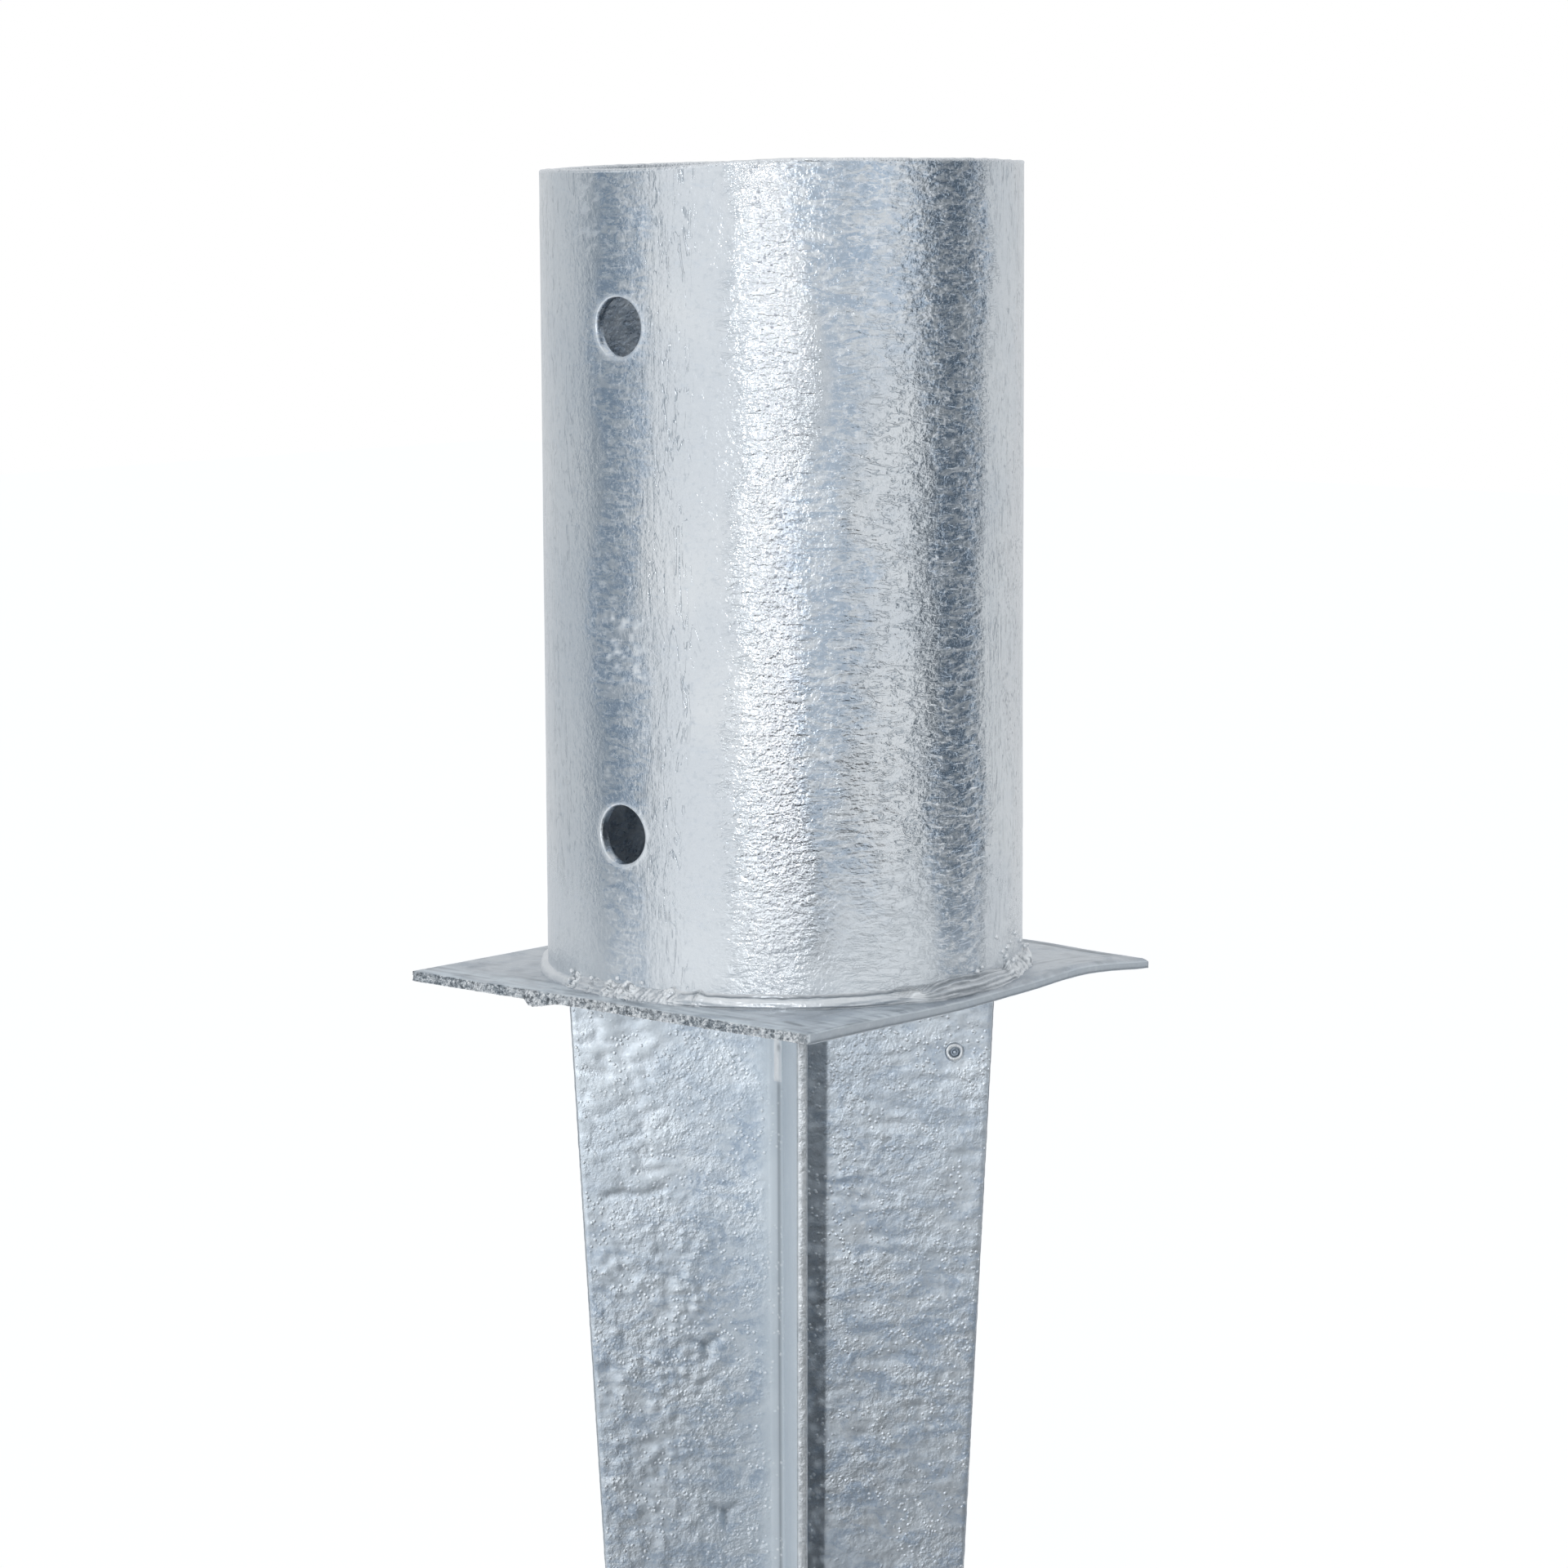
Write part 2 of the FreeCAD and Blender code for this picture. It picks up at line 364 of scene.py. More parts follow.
def tube_zinc(name, pale, dull, blue):
    """Zinc of the sleeve: shinier, with wrinkled, streaked and sparkling bands up its length.
    The sparkling band at the front mirrors the key lamp and carries a painted highlight.
    """
    material, n = new_material(name)
    place = n.add("ShaderNodeTexCoord", "Object", {})
    wrinkled = n.attribute("wrinkled")
    grainy = n.attribute("grainy")
    cold = n.attribute("cold")
    upright = n.attribute("upright")
    # pale oxide, with painted light at the sleeve's foot and a painted highlight on the holes' lips
    oxide_and_light = n.attribute("stain")
    broad = n.noise(place, 30.0, 3.0, 0.55, 0.4)
    smeared = n.noise(n.stretched(place, 1.0, 3.0), 170.0, 6.0, 0.72, 1.2)
    fine = n.noise(place, 1000.0, 3.0, 0.65)
    chill = cold * n.step(smeared, 0.40, 0.58)
    # thin dark lines where the skin folded, sideways ones and upright ones: their darkness is painted shade
    breaks = n.step(n.noise(place, 300.0, 2.0, 0.6), 0.40, 0.54)
    wavy = n.noise(n.stretched(place, 0.40, 1.25), 560.0, 2.0, 0.5, 0.6)
    folds = n.larger(n.step(abs(wavy - 0.52), 0.030, 0.006), n.step(abs(wavy - 0.43), 0.026, 0.006))
    folds = folds * wrinkled * breaks * (1.0 - cold * 0.7) * (1.0 - grainy * 0.5)
    torn = n.noise(n.stretched(place, 1.0, 0.14), 420.0, 3.0, 0.6, 1.0)
    cracks = n.step(abs(torn - 0.5), 0.018, 0.003) * upright * breaks
    lines = (folds + cracks).clamped()
    smears = n.noise(n.stretched(place, 0.45, 1.40), 820.0, 3.0, 0.65, 0.6)
    flecks = n.larger(n.step(fine, 0.56, 0.68), n.step(smears, 0.55, 0.64) * cold) * (cold * 0.70 + 0.12)
    # dark pits painted only into the sparkling band: painted shade within the painted highlight
    pit_shade = n.step(n.cells(place, 820.0), 0.34, 0.18) * n.step(n.noise(place, 240.0, 2.0, 0.6), 0.44, 0.56)
    # The grain's pale tint is a painted highlight where the sleeve mirrors the key lamp, and the cold
    # blue-grey is partly painted reflection of the darker screens.
    colour = n.coated(
        n.tint(n.step(broad, 0.36, 0.64), pale, dull),
        (n.step(smeared, 0.52, 0.72) * 0.16, blue),
        (chill * 0.85, blue),
        (flecks, (0.88, 0.91, 0.94)),
        (n.step(fine, 0.46, 0.34) * 0.22, (0.44, 0.50, 0.56)),
        (lines * 0.54, (0.28, 0.33, 0.38)),
        (grainy * grainy * 0.36, (0.86, 0.87, 0.90)),
        (pit_shade * grainy * 0.75, (0.34, 0.37, 0.42)),
        (oxide_and_light, (0.80, 0.84, 0.87)),
    )
    rough = 0.19 + fine * 0.10 + (cold - chill) * 0.10 + oxide_and_light * 0.25 - grainy * 0.04
    # the heights of the skin's parts, in units of 0.1 mm
    soft = n.noise(place, 520.0, 3.0, 0.60, 0.3) * 1.2
    waves = n.noise(n.stretched(place, 0.36, 1.15), 820.0, 2.0, 0.5, 0.5) * wrinkled * 3.4
    streaks = n.noise(n.stretched(place, 1.0, 0.20), 800.0, 3.0, 0.6, 0.4) * upright * 1.1
    sparkle = n.noise(place, 1300.0, 3.0, 0.6) * (grainy * 1.9 + 1.0)
    pits = n.step(n.cells(place, 420.0), 0.20, 0.06) * n.step(n.noise(place, 160.0, 2.0, 0.6), 0.52, 0.60)
    height = soft + waves + (streaks + sparkle) - pits * 0.25 - lines * 0.35
    metallic = 1.0 - ((oxide_and_light + flecks * 0.30) * 0.8).clamped()
    n.metal(colour, metallic, rough, n.bump(height, 0.1 * MM))
    return material


# Meshes

def grid_faces(rows, columns, closed_columns=False, closed_rows=False, first=0):
    """Quads of a grid whose points run column by column and then row by row."""
    j = np.arange(rows if closed_rows else rows - 1)[:, None]
    i = np.arange(columns if closed_columns else columns - 1)[None, :]
    j2 = (j + 1) % rows
    i2 = (i + 1) % columns
    quads = np.stack([j * columns + i, j * columns + i2, j2 * columns + i2, j2 * columns + i], axis=-1)
    return quads.reshape(-1, 4) + first


def add_mesh(name, points, faces, materials, attributes):
    """A new object from points in metres, with numbers for each point."""
    mesh = bpy.data.meshes.new(name)
    mesh.from_pydata(np.asarray(points).tolist(), [], [tuple(face) for face in faces])
    for material in materials:
        mesh.materials.append(material)
    for label, values in attributes.items():
        layer = mesh.attributes.new(label, "FLOAT", "POINT")
        layer.data.foreach_set("value", np.asarray(values, dtype=np.float32))
    return link(name, mesh)


def make_piece(name, points, faces, materials, nodes, attributes, face_slots=None):
    """A new object in the CAD frame from points in millimetres, in place of the named CAD nodes."""
    piece = add_mesh(name, points * MM, faces, materials, attributes)
    if face_slots is not None:
        piece.data.polygons.foreach_set("material_index", np.asarray(face_slots, dtype=np.int32))
    piece.data.shade_smooth()
    piece.data.validate()
    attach(piece, "root")
    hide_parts(*nodes)


def zipper(outer, outer_angles, inner, inner_angles):
    """Triangles between two closed loops that both run anticlockwise, from their angles."""
    faces = []
    start = int(np.argmin(np.abs(wrapped(inner_angles - outer_angles[0]))))
    a = [(angle - outer_angles[0]) % 360.0 for angle in outer_angles] + [360.0]
    order = [(start + k) % len(inner) for k in range(len(inner))]
    b = [wrapped(inner_angles[start] - outer_angles[0])]
    for k in order[1:]:
        b.append(b[-1] + (inner_angles[k] - outer_angles[0] - b[-1]) % 360.0)
    b.append(b[0] + 360.0)
    i = 0
    j = 0
    while i < len(outer) or j < len(inner):
        go_outer = j >= len(inner) or (i < len(outer) and a[i + 1] <= b[j + 1])
        here_outer = outer[i % len(outer)]
        here_inner = inner[order[j % len(inner)]]
        if go_outer:
            faces.append((here_outer, outer[(i + 1) % len(outer)], here_inner))
            i += 1
        else:
            faces.append((here_outer, inner[order[(j + 1) % len(inner)]], here_inner))
            j += 1
    return faces


# Sleeve

RIM_ANGLES = (-62.0, -42.0, -20.0, 2.0, 12.0, 20.0, 28.0, 36.0, 47.0, 60.0, 95.0, 113.0, 140.0, 180.0,
              215.0, 241.0, 255.0, 272.0, 298.0)
RIM_HEIGHTS = (152.0, 151.9, 152.0, 152.2, 152.35, 152.8, 153.35, 153.75, 154.0, 153.95, 153.75, 153.3,
               153.2, 153.4, 153.4, 153.15, 152.9, 152.6, 152.0)
# the rim's cross-section: inwards from the outside, and down from its top
RIM_SECTION = ((0.0, 0.42), (0.10, 0.16), (0.34, 0.0), (0.9, -0.04), (1.5, 0.0), (1.86, 0.14), (2.0, 0.5))
# a hole's, from the outside over the zinc lip and through the wall: radius, depth, on the outside
HOLE_SECTION = ((6.75, 0.0, 1), (6.25, 0.03, 1), (5.98, 0.10, 1), (5.78, 0.13, 1), (5.58, 0.06, 1),
                (5.42, -0.16, 1), (5.33, -0.50, 1), (5.30, -1.10, 1), (5.33, -1.60, 1), (5.46, -1.93, 1),
                (5.75, -2.02, 0), (6.3, -2.0, 0))


def rim_height(theta):
    """Height of the sleeve's cut end, which was sawn slightly askew."""
    per_degree = 2
    count = 360 * per_degree
    turn = RIM_ANGLES[0] + np.arange(count) / per_degree
    level = np.interp(turn, RIM_ANGLES, RIM_HEIGHTS)
    reach = 11
    kernel = np.hanning(2 * reach + 1)
    padded = np.concatenate([level[-reach:], level, level[:reach]])
    level = np.convolve(padded, kernel / kernel.sum(), "valid")
    x = (np.asarray(theta) - RIM_ANGLES[0]) % 360.0 * per_degree
    low = np.floor(x).astype(int) % count
    share = x - np.floor(x)
    return level[low] * (1.0 - share) + level[(low + 1) % count] * share


def sleeve_relief(theta, z):
    """How far the zinc stands proud of the tube's outside."""
    arc = theta / 360.0
    turn = wrapped(theta)
    s = arc_length(turn)
    h = 0.050 * fractal(arc * 9, z / 52.0, 11, 2, 9)
    h += 0.016 * fractal(arc * 40, z / 9.0, 21, 2, 40)
    # long weld seam of the tube
    drift = 0.8 * noise(z / 30.0, 0.0, 31)
    for centre, high in ((95.6, 0.10), (102.3, 0.08)):
        away = s - arc_length(centre) - drift
        h += high * hump(away, 0.0, 0.55) * (0.6 + 0.5 * noise(z / 6.0, centre, 33))
    seam = s - arc_length(99.0) - drift
    h += 0.05 * hump(seam, 0.0, 3.2)
    # runs and dribbles below the rim, left of the holes
    for ps, pz, long, high in ((-1.6, 146.5, 2.6, 0.10), (0.6, 144.6, 3.4, 0.12), (2.6, 143.8, 3.0, 0.10),
                               (5.2, 142.5, 5.0, 0.09), (-5.0, 134.5, 1.2, 0.12), (-6.4, 136.2, 0.8, 0.12),
                               (-12.5, 143.2, 0.8, 0.10), (-10.3, 145.0, 0.8, 0.10),
                               (-4.2, 128.9, 0.9, 0.10)):
        h += high * np.exp(-((s - ps) / 0.75) ** 2 - ((z - pz) / long) ** 2)
    # pits and small marks
    for ps, pz, size, deep in ((10.1, 89.3, 0.7, 0.10), (10.9, 90.2, 0.6, 0.09), (17.2, 23.1, 1.7, -0.05),
                               (17.2, 23.1, 0.9, 0.08), (77.5, 122.0, 0.8, 0.09), (15.5, 108.0, 0.6, 0.05),
                               (22.4, 113.5, 0.5, 0.05), (24.0, 71.0, 0.5, 0.06)):
        h -= deep * spot(s, z, ps, pz, size)
    # cold scab of zinc between the holes
    scab = around(s, 2.0, 3.0, 3.0) * around(z, 67.0, 3.6, 3.6)
    h += 0.05 * scab * fractal(s / 1.6, z / 1.9, 41, 3)
    # the skin is rougher towards the foot
    foot = fall(4.0, 26.0, z)
    h += 0.030 * foot * fractal(arc * 120, z / 2.6, 51, 2, 120)
    # sparse specks
    h += 0.045 * pimples(arc * 70, z / 4.0, 61, 0.10, 70)
    return h


def sleeve_pale_oxide_and_light(theta, z):
    """Pale blooms on the sleeve, paler towards the foot, with painted light low on the side that mirrors
    the dark flag.
    """
    turn = wrapped(theta)
    s = arc_length(turn)
    scab = around(s, 1.5, 3.6, 3.0) * around(z, 66.5, 4.0, 5.0)
    scab *= smooth(0.05, 0.5, fractal(s / 1.6, z / 1.9, 41, 3))
    ghost = around(s, -7.5, 2.0, 2.5) * around(z, 144.0, 6.0, 3.0)
    ghost *= smooth(0.0, 0.6, fractal(s / 2.0, z / 2.0, 43, 3))
    foot = fall(3.0, 34.0, z + 3.0 * noise(theta / 360.0 * 20, z / 12.0, 47, 20))
    # painted light: the foot is lifted where it mirrors the dark flag
    toe = around(turn, 66.0, 10.0, 7.0) * fall(16.0, 36.0, z)
    return 0.65 * scab + 0.35 * ghost + 0.36 * foot + 0.30 * toe


def sleeve_skins(theta, z):
    """Shares of sideways wrinkles, of sparkling grain, of cold blue-grey zinc and of upright streaks.
    The grain's band at the front mirrors the key lamp and carries a painted highlight, and the cold bands at
    0, 52.5 and 85.5 degrees lie where the sleeve mirrors darker screens, so their blue-grey is partly painted
    reflection.
    """
    turn = theta % 360.0
    wander = 5.0 * noise(theta / 360.0 * 12, z / 30.0, 71, 12)
    wander += 2.0 * noise(theta / 360.0 * 40, z / 7.0, 73, 40)

    def band(share, centre, half, edge, sway=1.0):
        return share * around(turn + sway * wander, centre, half, edge)

    wrinkled = band(1.0, 76.0, 18.0, 6.0) + band(0.9, 215.0, 45.0, 20.0, 2.0) + band(0.65, 38.0, 8.0, 5.0)
    grainy = band(1.0, 39.5, 2.0, 9.0, 0.5) + band(0.8, 130.0, 15.0, 12.0, 2.0)
    # the bands at 0, 52.5 and 85.5 degrees lie where the sleeve mirrors darker screens: partly painted
    # reflection
    cold = band(0.8, 52.5, 4.0, 6.5, 2.2) * smooth(6.0, 30.0, z) + band(1.0, 85.5, 6.0, 4.5)
    cold += band(0.8, 70.0, 9.0, 6.0) * smooth(108.0, 130.0, z)
    cold += 0.8 * around(wrapped(turn + wander), 0.0, 5.0, 4.0)
    cold += band(1.0, 180.0, 10.0, 16.0, 3.0) + band(1.0, 262.0, 12.0, 16.0, 3.0)
    upright = band(1.0, 12.0, 5.0, 5.0) + band(0.7, 112.0, 10.0, 10.0, 2.0)
    upright += band(0.6, 318.0, 24.0, 12.0, 2.0)
    return [np.clip(share, 0.0, 1.0) for share in (wrinkled, grainy, cold, upright)]


def turned(s, radius, z, centre):
    """Point that lies s to the side of the plane at that angle, at that radius from the axis."""
    theta = np.radians(centre)
    depth = np.sqrt(radius * radius - s * s)
    x = s * np.cos(theta) + depth * np.sin(theta)
    y = s * np.sin(theta) - depth * np.cos(theta)
    return np.stack([x, y, z], axis=-1)


def make_sleeve(material):
    """The tube's outside, rim and inside in one closed grid, with the holes cut out and lined."""
    columns = 300
    outer_step = 2.0 / 3.0
    inner_step = 2.0
    outer_rows = round((SLEEVE_TOP - SLEEVE_FOOT) / outer_step) + 1
    inner_rows = round((SLEEVE_TOP - SLEEVE_FOOT) / inner_step) + 1
    theta = np.arange(columns) * 360.0 / columns
    arc = theta / 360.0
    rim = rim_height(theta)
    rows = []
    marks = []

    def lowered(z):
        """Height on the sleeve as cut, from the height on an even one."""
        return z + (rim - SLEEVE_TOP) * smooth(136.0, SLEEVE_TOP, z)

    for j in range(outer_rows - 1):
        z = lowered(np.full(columns, SLEEVE_FOOT + j * outer_step))
        rows.append((SLEEVE_RADIUS + sleeve_relief(theta, z), z))
        marks.append([sleeve_pale_oxide_and_light(theta, z)] + sleeve_skins(theta, z))
    ragged = 0.10 * fractal(arc * 90, 0.0, 81, 3, 90)
    for inset, below in RIM_SECTION:
        z = np.minimum(rim - below + ragged * (1.0 - below), SLEEVE_TOP)
        lip = 0.06 * hump(inset, 0.0, 0.3)
        rows.append((SLEEVE_RADIUS - inset + lip + 0.3 * ragged, z))
        marks.append([theta * 0.0 + share for share in (0.25, 0.0, 1.0, 0.0, 0.0)])
    for j in range(1, inner_rows):
        z = lowered(np.full(columns, SLEEVE_TOP - j * inner_step))
        relief = 0.10 * fractal(arc * 60, z / 7.0, 91, 2, 60)
        rows.append((SLEEVE_BORE - relief, z))
        bloom_and_sheen = np.clip(0.20 + 0.45 * fractal(arc * 60, z / 5.0, 93, 3, 60), 0.0, 0.6)
        marks.append([bloom_and_sheen] + [theta * 0.0 + share for share in (0.3, 0.5, 0.6, 0.4)])
    points = np.concatenate([turned(0.0, radius, z, theta) for radius, z in rows])
    inner_first = outer_rows - 1 + len(RIM_SECTION) - 1
    quads = grid_faces(len(rows), columns, True, True)
    row_of = quads[:, 0] // columns
    column_of = quads[:, 0] % columns
    keep = np.ones(len(quads), dtype=bool)
    extra_points = []
    extra_faces = []
    count = len(points)
    turns = 72
    angles = np.arange(turns) * 360.0 / turns
    # each hole has its own block, cut out of the grid
    half_columns = 8
    half_rows = 11
    inner_half_rows = 4

    def block_loop(row_low, row_high, first_column):
        """Grid points round a hole's block, anticlockwise from outside, as (row, column) pairs."""
        loop = [(row_low, c) for c in range(first_column, first_column + 2 * half_columns)]
        step = 1 if row_high > row_low else -1
        loop += [(r, first_column + 2 * half_columns) for r in range(row_low, row_high, step)]
        loop += [(row_high, c) for c in range(first_column + 2 * half_columns, first_column, -1)]
        loop += [(r, first_column) for r in range(row_high, row_low, -step)]
        return loop

    for side in (0, 1):
        first_column = side * columns // 2 - half_columns
        centre = side * 180.0
        facing = np.radians(centre)
        for height in HOLE_HEIGHTS:
            middle = round((height - SLEEVE_FOOT) / outer_step)
            inner_middle = inner_first + round((SLEEVE_TOP - height) / inner_step)
            spans = ((middle - half_rows, middle + half_rows),
                     (inner_middle + inner_half_rows, inner_middle - inner_half_rows))
            loops = []
            for low, high in spans:
                inside_rows = (row_of >= min(low, high)) & (row_of < max(low, high))
                keep &= ~(inside_rows & ((column_of - first_column) % columns < 2 * half_columns))
                ids = [r * columns + c % columns for r, c in block_loop(low, high, first_column)]
                across = points[ids, 0] * np.cos(facing) + points[ids, 1] * np.sin(facing)
                loops.append((ids, np.degrees(np.arctan2(points[ids, 2] - height, across)) % 360.0))
            for radius, depth, outside in HOLE_SECTION:
                wobbly = radius * (1.0 + 0.012 * noise(angles / 60.0, height + side, 95, 6))
                s = wobbly * np.cos(np.radians(angles))
                z = height + wobbly * np.sin(np.radians(angles))
                at = centre + np.degrees(np.arcsin(s / SLEEVE_RADIUS))
                proud = sleeve_relief(at, z) if outside else 0.0
                out = SLEEVE_RADIUS + depth + proud * smooth(-1.5, 0.0, depth)
                extra_points.append(turned(s, out, z, centre))
                # a pale ring on each hole's zinc lip: painted highlight
                lip = hump(radius, 5.75, 0.35) * (depth > -0.4)
                marks.append([sleeve_pale_oxide_and_light(at, z) + 0.40 * lip] + sleeve_skins(at, z))
            first_ring = list(range(count, count + turns))
            count += len(HOLE_SECTION) * turns
            last_ring = list(range(count - turns, count))
            extra_faces += zipper(*loops[0], first_ring, angles)
            extra_faces += grid_faces(len(HOLE_SECTION), turns, True, first=first_ring[0]).tolist()
            extra_faces += zipper(last_ring, angles, *loops[1])
    points = np.concatenate([points] + extra_points)
    labels = ("stain", "wrinkled", "grainy", "cold", "upright")
    faces = quads[keep].tolist() + extra_faces
    marks = {label: np.clip(np.concatenate(values), 0.0, 1.0) for label, values in zip(labels, zip(*marks))}
    make_piece("zinc_post_sleeve", points, faces, [material], ["post_sleeve"], marks)


# Plate

def plate_lift(x, y):
    """How far the plate is sprung up towards its right corner."""
    lift = 0.60 * smooth(26.0, 44.0, (x + y) * math.sqrt(0.5))
    lift += 0.95 * hump(y, 28.0, 12.0) * smooth(28.0, 50.0, x)
    return lift - 0.52 * smooth(38.0, 51.0, y) * smooth(22.0, 40.0, x)


def make_plate(top_material, edge_material):
    """Top and underside as two square grids, joined by a strip of rows round the edge."""
    cells = 176
    size = cells + 1
    low = -PLATE_HALF
    # on these two sides the plate ends short of its full half width
    high = PLATE_HALF - 0.8
    ruler = low + (high - low) * np.linspace(0.0, 1.0, size)
    tx, ty = np.meshgrid(ruler, ruler)

    def layer(base, seed, roughness):
        """Heights of the top or of the underside."""
        uneven = 0.05 * fractal(tx / 24.0, ty / 24.0, seed, 2)
        return base + plate_lift(tx, ty) + (uneven + roughness * fractal(tx / 3.2, ty / 3.2, seed + 5, 3))

    tz = layer(PLATE_TOP, 101, 0.016)
    bz = layer(0.0, 111, 0.030)
    # shearing rolled the top's edges over, most on the right
    roll = (0.15 + 0.45 * smooth(-42.0, 0.0, ty)) * hump(high, tx, 0.75)
    roll = np.maximum(roll, 0.22 * hump(np.minimum(np.minimum(ty - low, high - ty), tx - low), 0.0, 0.5))
    tz = tz - roll - 0.15 * smooth(60.0, 71.0, (tx + ty) * math.sqrt(0.5))
    # drawn lines beside the two front edges, and a long shallow fold behind the right corner
    drawn = fractal(tx / 1.5, ty / 22.0, 151, 2) * smooth(36.0, 47.0, tx)
    drawn += fractal(tx / 22.0, ty / 1.5, 153, 2) * smooth(36.0, 47.0, -ty)
    tz += 0.045 * drawn
    fold = hump(ty - 47.2 + 0.04 * (tx - 20.0), 0.0, 0.9) * between(tx, 8.0, 24.0, 40.0, 47.0)
    tz -= 0.16 * fold
    # splashes and runs of zinc near the weld, on the top
    ring = np.hypot(tx, ty)
    tz += 0.10 * around(ring, 49.0, 1.2, 3.0) * pimples(tx / 1.7, ty / 1.7, 121, 0.5)
    # dark lines where it was drawn, and a lens-shaped scratch near the front corner
    marked = 0.9 * hump(ty + 44.6 + 0.25 * (tx - 41.0), 0.0, 0.7) * around(tx, 41.0, 1.6, 2.2)
    marked += 0.35 * smooth(0.25, 0.8, fractal(tx / 1.6, ty / 20.0, 155, 2)) * smooth(30.0, 44.0, tx)
    marked += 0.35 * smooth(0.25, 0.8, fractal(tx / 20.0, ty / 1.6, 157, 2)) * smooth(30.0, 44.0, -ty)
    marked += 0.25 * smooth(0.0, 0.7, fractal(tx / 5.0, ty / 5.0, 159, 3))
    marked += 0.7 * fold

    def border(grid):
        """Values round the layer's edge, anticlockwise from (low, low)."""
        return np.concatenate([grid[0, :-1], grid[:-1, -1], grid[-1, :0:-1], grid[:0:-1, 0]])

    ids = np.arange(size * size).reshape(size, size)
    top_ring = border(ids)
    under_ring = top_ring + size * size
    loop = len(top_ring)
    side = np.repeat(np.arange(4), cells)
    outward = np.array([(0.0, -1.0), (1.0, 0.0), (0.0, 1.0), (-1.0, 0.0)])[side]
    rough_side = np.array([1.0, 0.10, 0.35, 0.6])[side]
    left = side == 0
    right = side == 1
    px = border(tx)
    py = border(ty)
    rough_side *= 1.0 - 0.75 * smooth(45.0, 49.2, px) * left
    run = np.arange(loop) / loop
    wave = fractal(run * 300, 0.0, 131, 3, 300)
    slow = fractal(run * 60, 3.3, 135, 2, 60)
    # the drip that hangs under the rough side
    drip = left * between(px, -20.4, -19.8, -19.5, -11.0) * 1.25
    drip *= 1.0 + 0.25 * noise(px / 1.1, 0.0, 137)
    burr = rough_side * (0.06 + 0.11 * np.abs(wave)) + drip
    strip_rows = 9
    strip_points = []
    strip_pale_and_light = []
    strip_shade = []
    top_z = border(tz)
    under_z = border(bz) - burr
    for k in range(1, strip_rows):
        t = k / strip_rows
        tear = noise(run * 420, k * 0.55, 141, 420) + 0.6 * noise(run * 840, k * 1.1, 143, 840)
        inward = rough_side * (0.16 + 0.17 * tear) * smooth(0.0, 0.25, t) * (1.0 - 0.6 * smooth(0.8, 1.0, t))
        inward = np.maximum(inward, 0.0) + 0.05 * slow * rough_side
        inward = np.maximum(inward, 0.0)
        z = top_z * (1.0 - t) + under_z * t
        strip_points.append(np.stack([px - outward[:, 0] * inward, py - outward[:, 1] * inward, z], axis=-1))
        # On the right side face the edge strip is painted lighter above and darker at its foot: painted
        # light, and a painted shadow line under the edge. The bright spot at the front corner is a painted
        # highlight; the chips on the torn sides are the edge's own.
        chips = np.clip(0.5 * tear * rough_side, 0.0, 0.6) + right * (0.40 - 0.2 * smooth(0.3, 1.0, t))
        strip_pale_and_light.append(np.maximum(chips, 0.8 * hump(np.hypot(px - 49.2, py + 50.0), 0.0, 0.4)))
        strip_shade.append(right * 0.75 * smooth(0.60, 0.95, t))
    # the two edges are rounded and ragged: the last line of points is pulled in and down
    pull = 0.10 + rough_side * (0.06 + 0.10 * np.abs(wave))
    flat_top = np.stack([tx, ty, tz], axis=-1).reshape(-1, 3)
    flat_under = np.stack([tx, ty, bz], axis=-1).reshape(-1, 3)
    flat_top[top_ring, :2] -= outward * pull[:, None]
    flat_under[top_ring, :2] -= outward * pull[:, None] * 0.7
    flat_under[top_ring, 2] = under_z
    points = np.concatenate([flat_top, flat_under] + strip_points)
    top_faces = grid_faces(size, size)
    under_faces = grid_faces(size, size, first=size * size)[:, ::-1]
    faces = [top_faces, under_faces]
    rings = [top_ring]
    rings += [np.arange(loop) + 2 * size * size + k * loop for k in range(strip_rows - 1)]
    rings += [under_ring]
    for a, b in zip(rings[:-1], rings[1:]):
        faces.append(np.stack([b, np.roll(b, -1), np.roll(a, -1), a], axis=-1))
    faces = np.concatenate(faces)
    slots = np.zeros(len(faces), dtype=np.int32)
    # the right side face takes the top's paler zinc: painted light
    slots[len(top_faces) + len(under_faces):] = np.tile(~right, strip_rows)
    stain = np.concatenate([np.zeros(2 * size * size)] + strip_pale_and_light)
    torn = np.concatenate([np.zeros(2 * size * size)] + [rough_side] * (strip_rows - 1))
    torn[top_ring] = rough_side
    torn[under_ring] = rough_side
    # pale bloom near the two front edges: pale oxide and painted reflection
    bloom_and_sheen = 0.70 * smooth(40.0, 45.5, np.maximum(-ty, tx)) * smooth(8.0, 30.0, -ty)
    bloom_and_sheen *= smooth(-0.6, 0.4, fractal(tx / 9.0, ty / 1.3, 161, 3))
    stain[:size * size] = bloom_and_sheen.reshape(-1)
    # the top's rim on the right side is painted pale: painted highlight
    stain[top_ring] = np.maximum(0.55 * right, stain[top_ring])
    grime = np.concatenate([np.clip(marked, 0.0, 0.8).reshape(-1), np.zeros(size * size)] + strip_shade)
    marks = {"stain": stain, "torn": torn, "grime": grime}
    materials = [top_material, edge_material]
    make_piece("zinc_base_plate", points, faces, materials, ["base_plate"], marks, slots)


# Weld beads

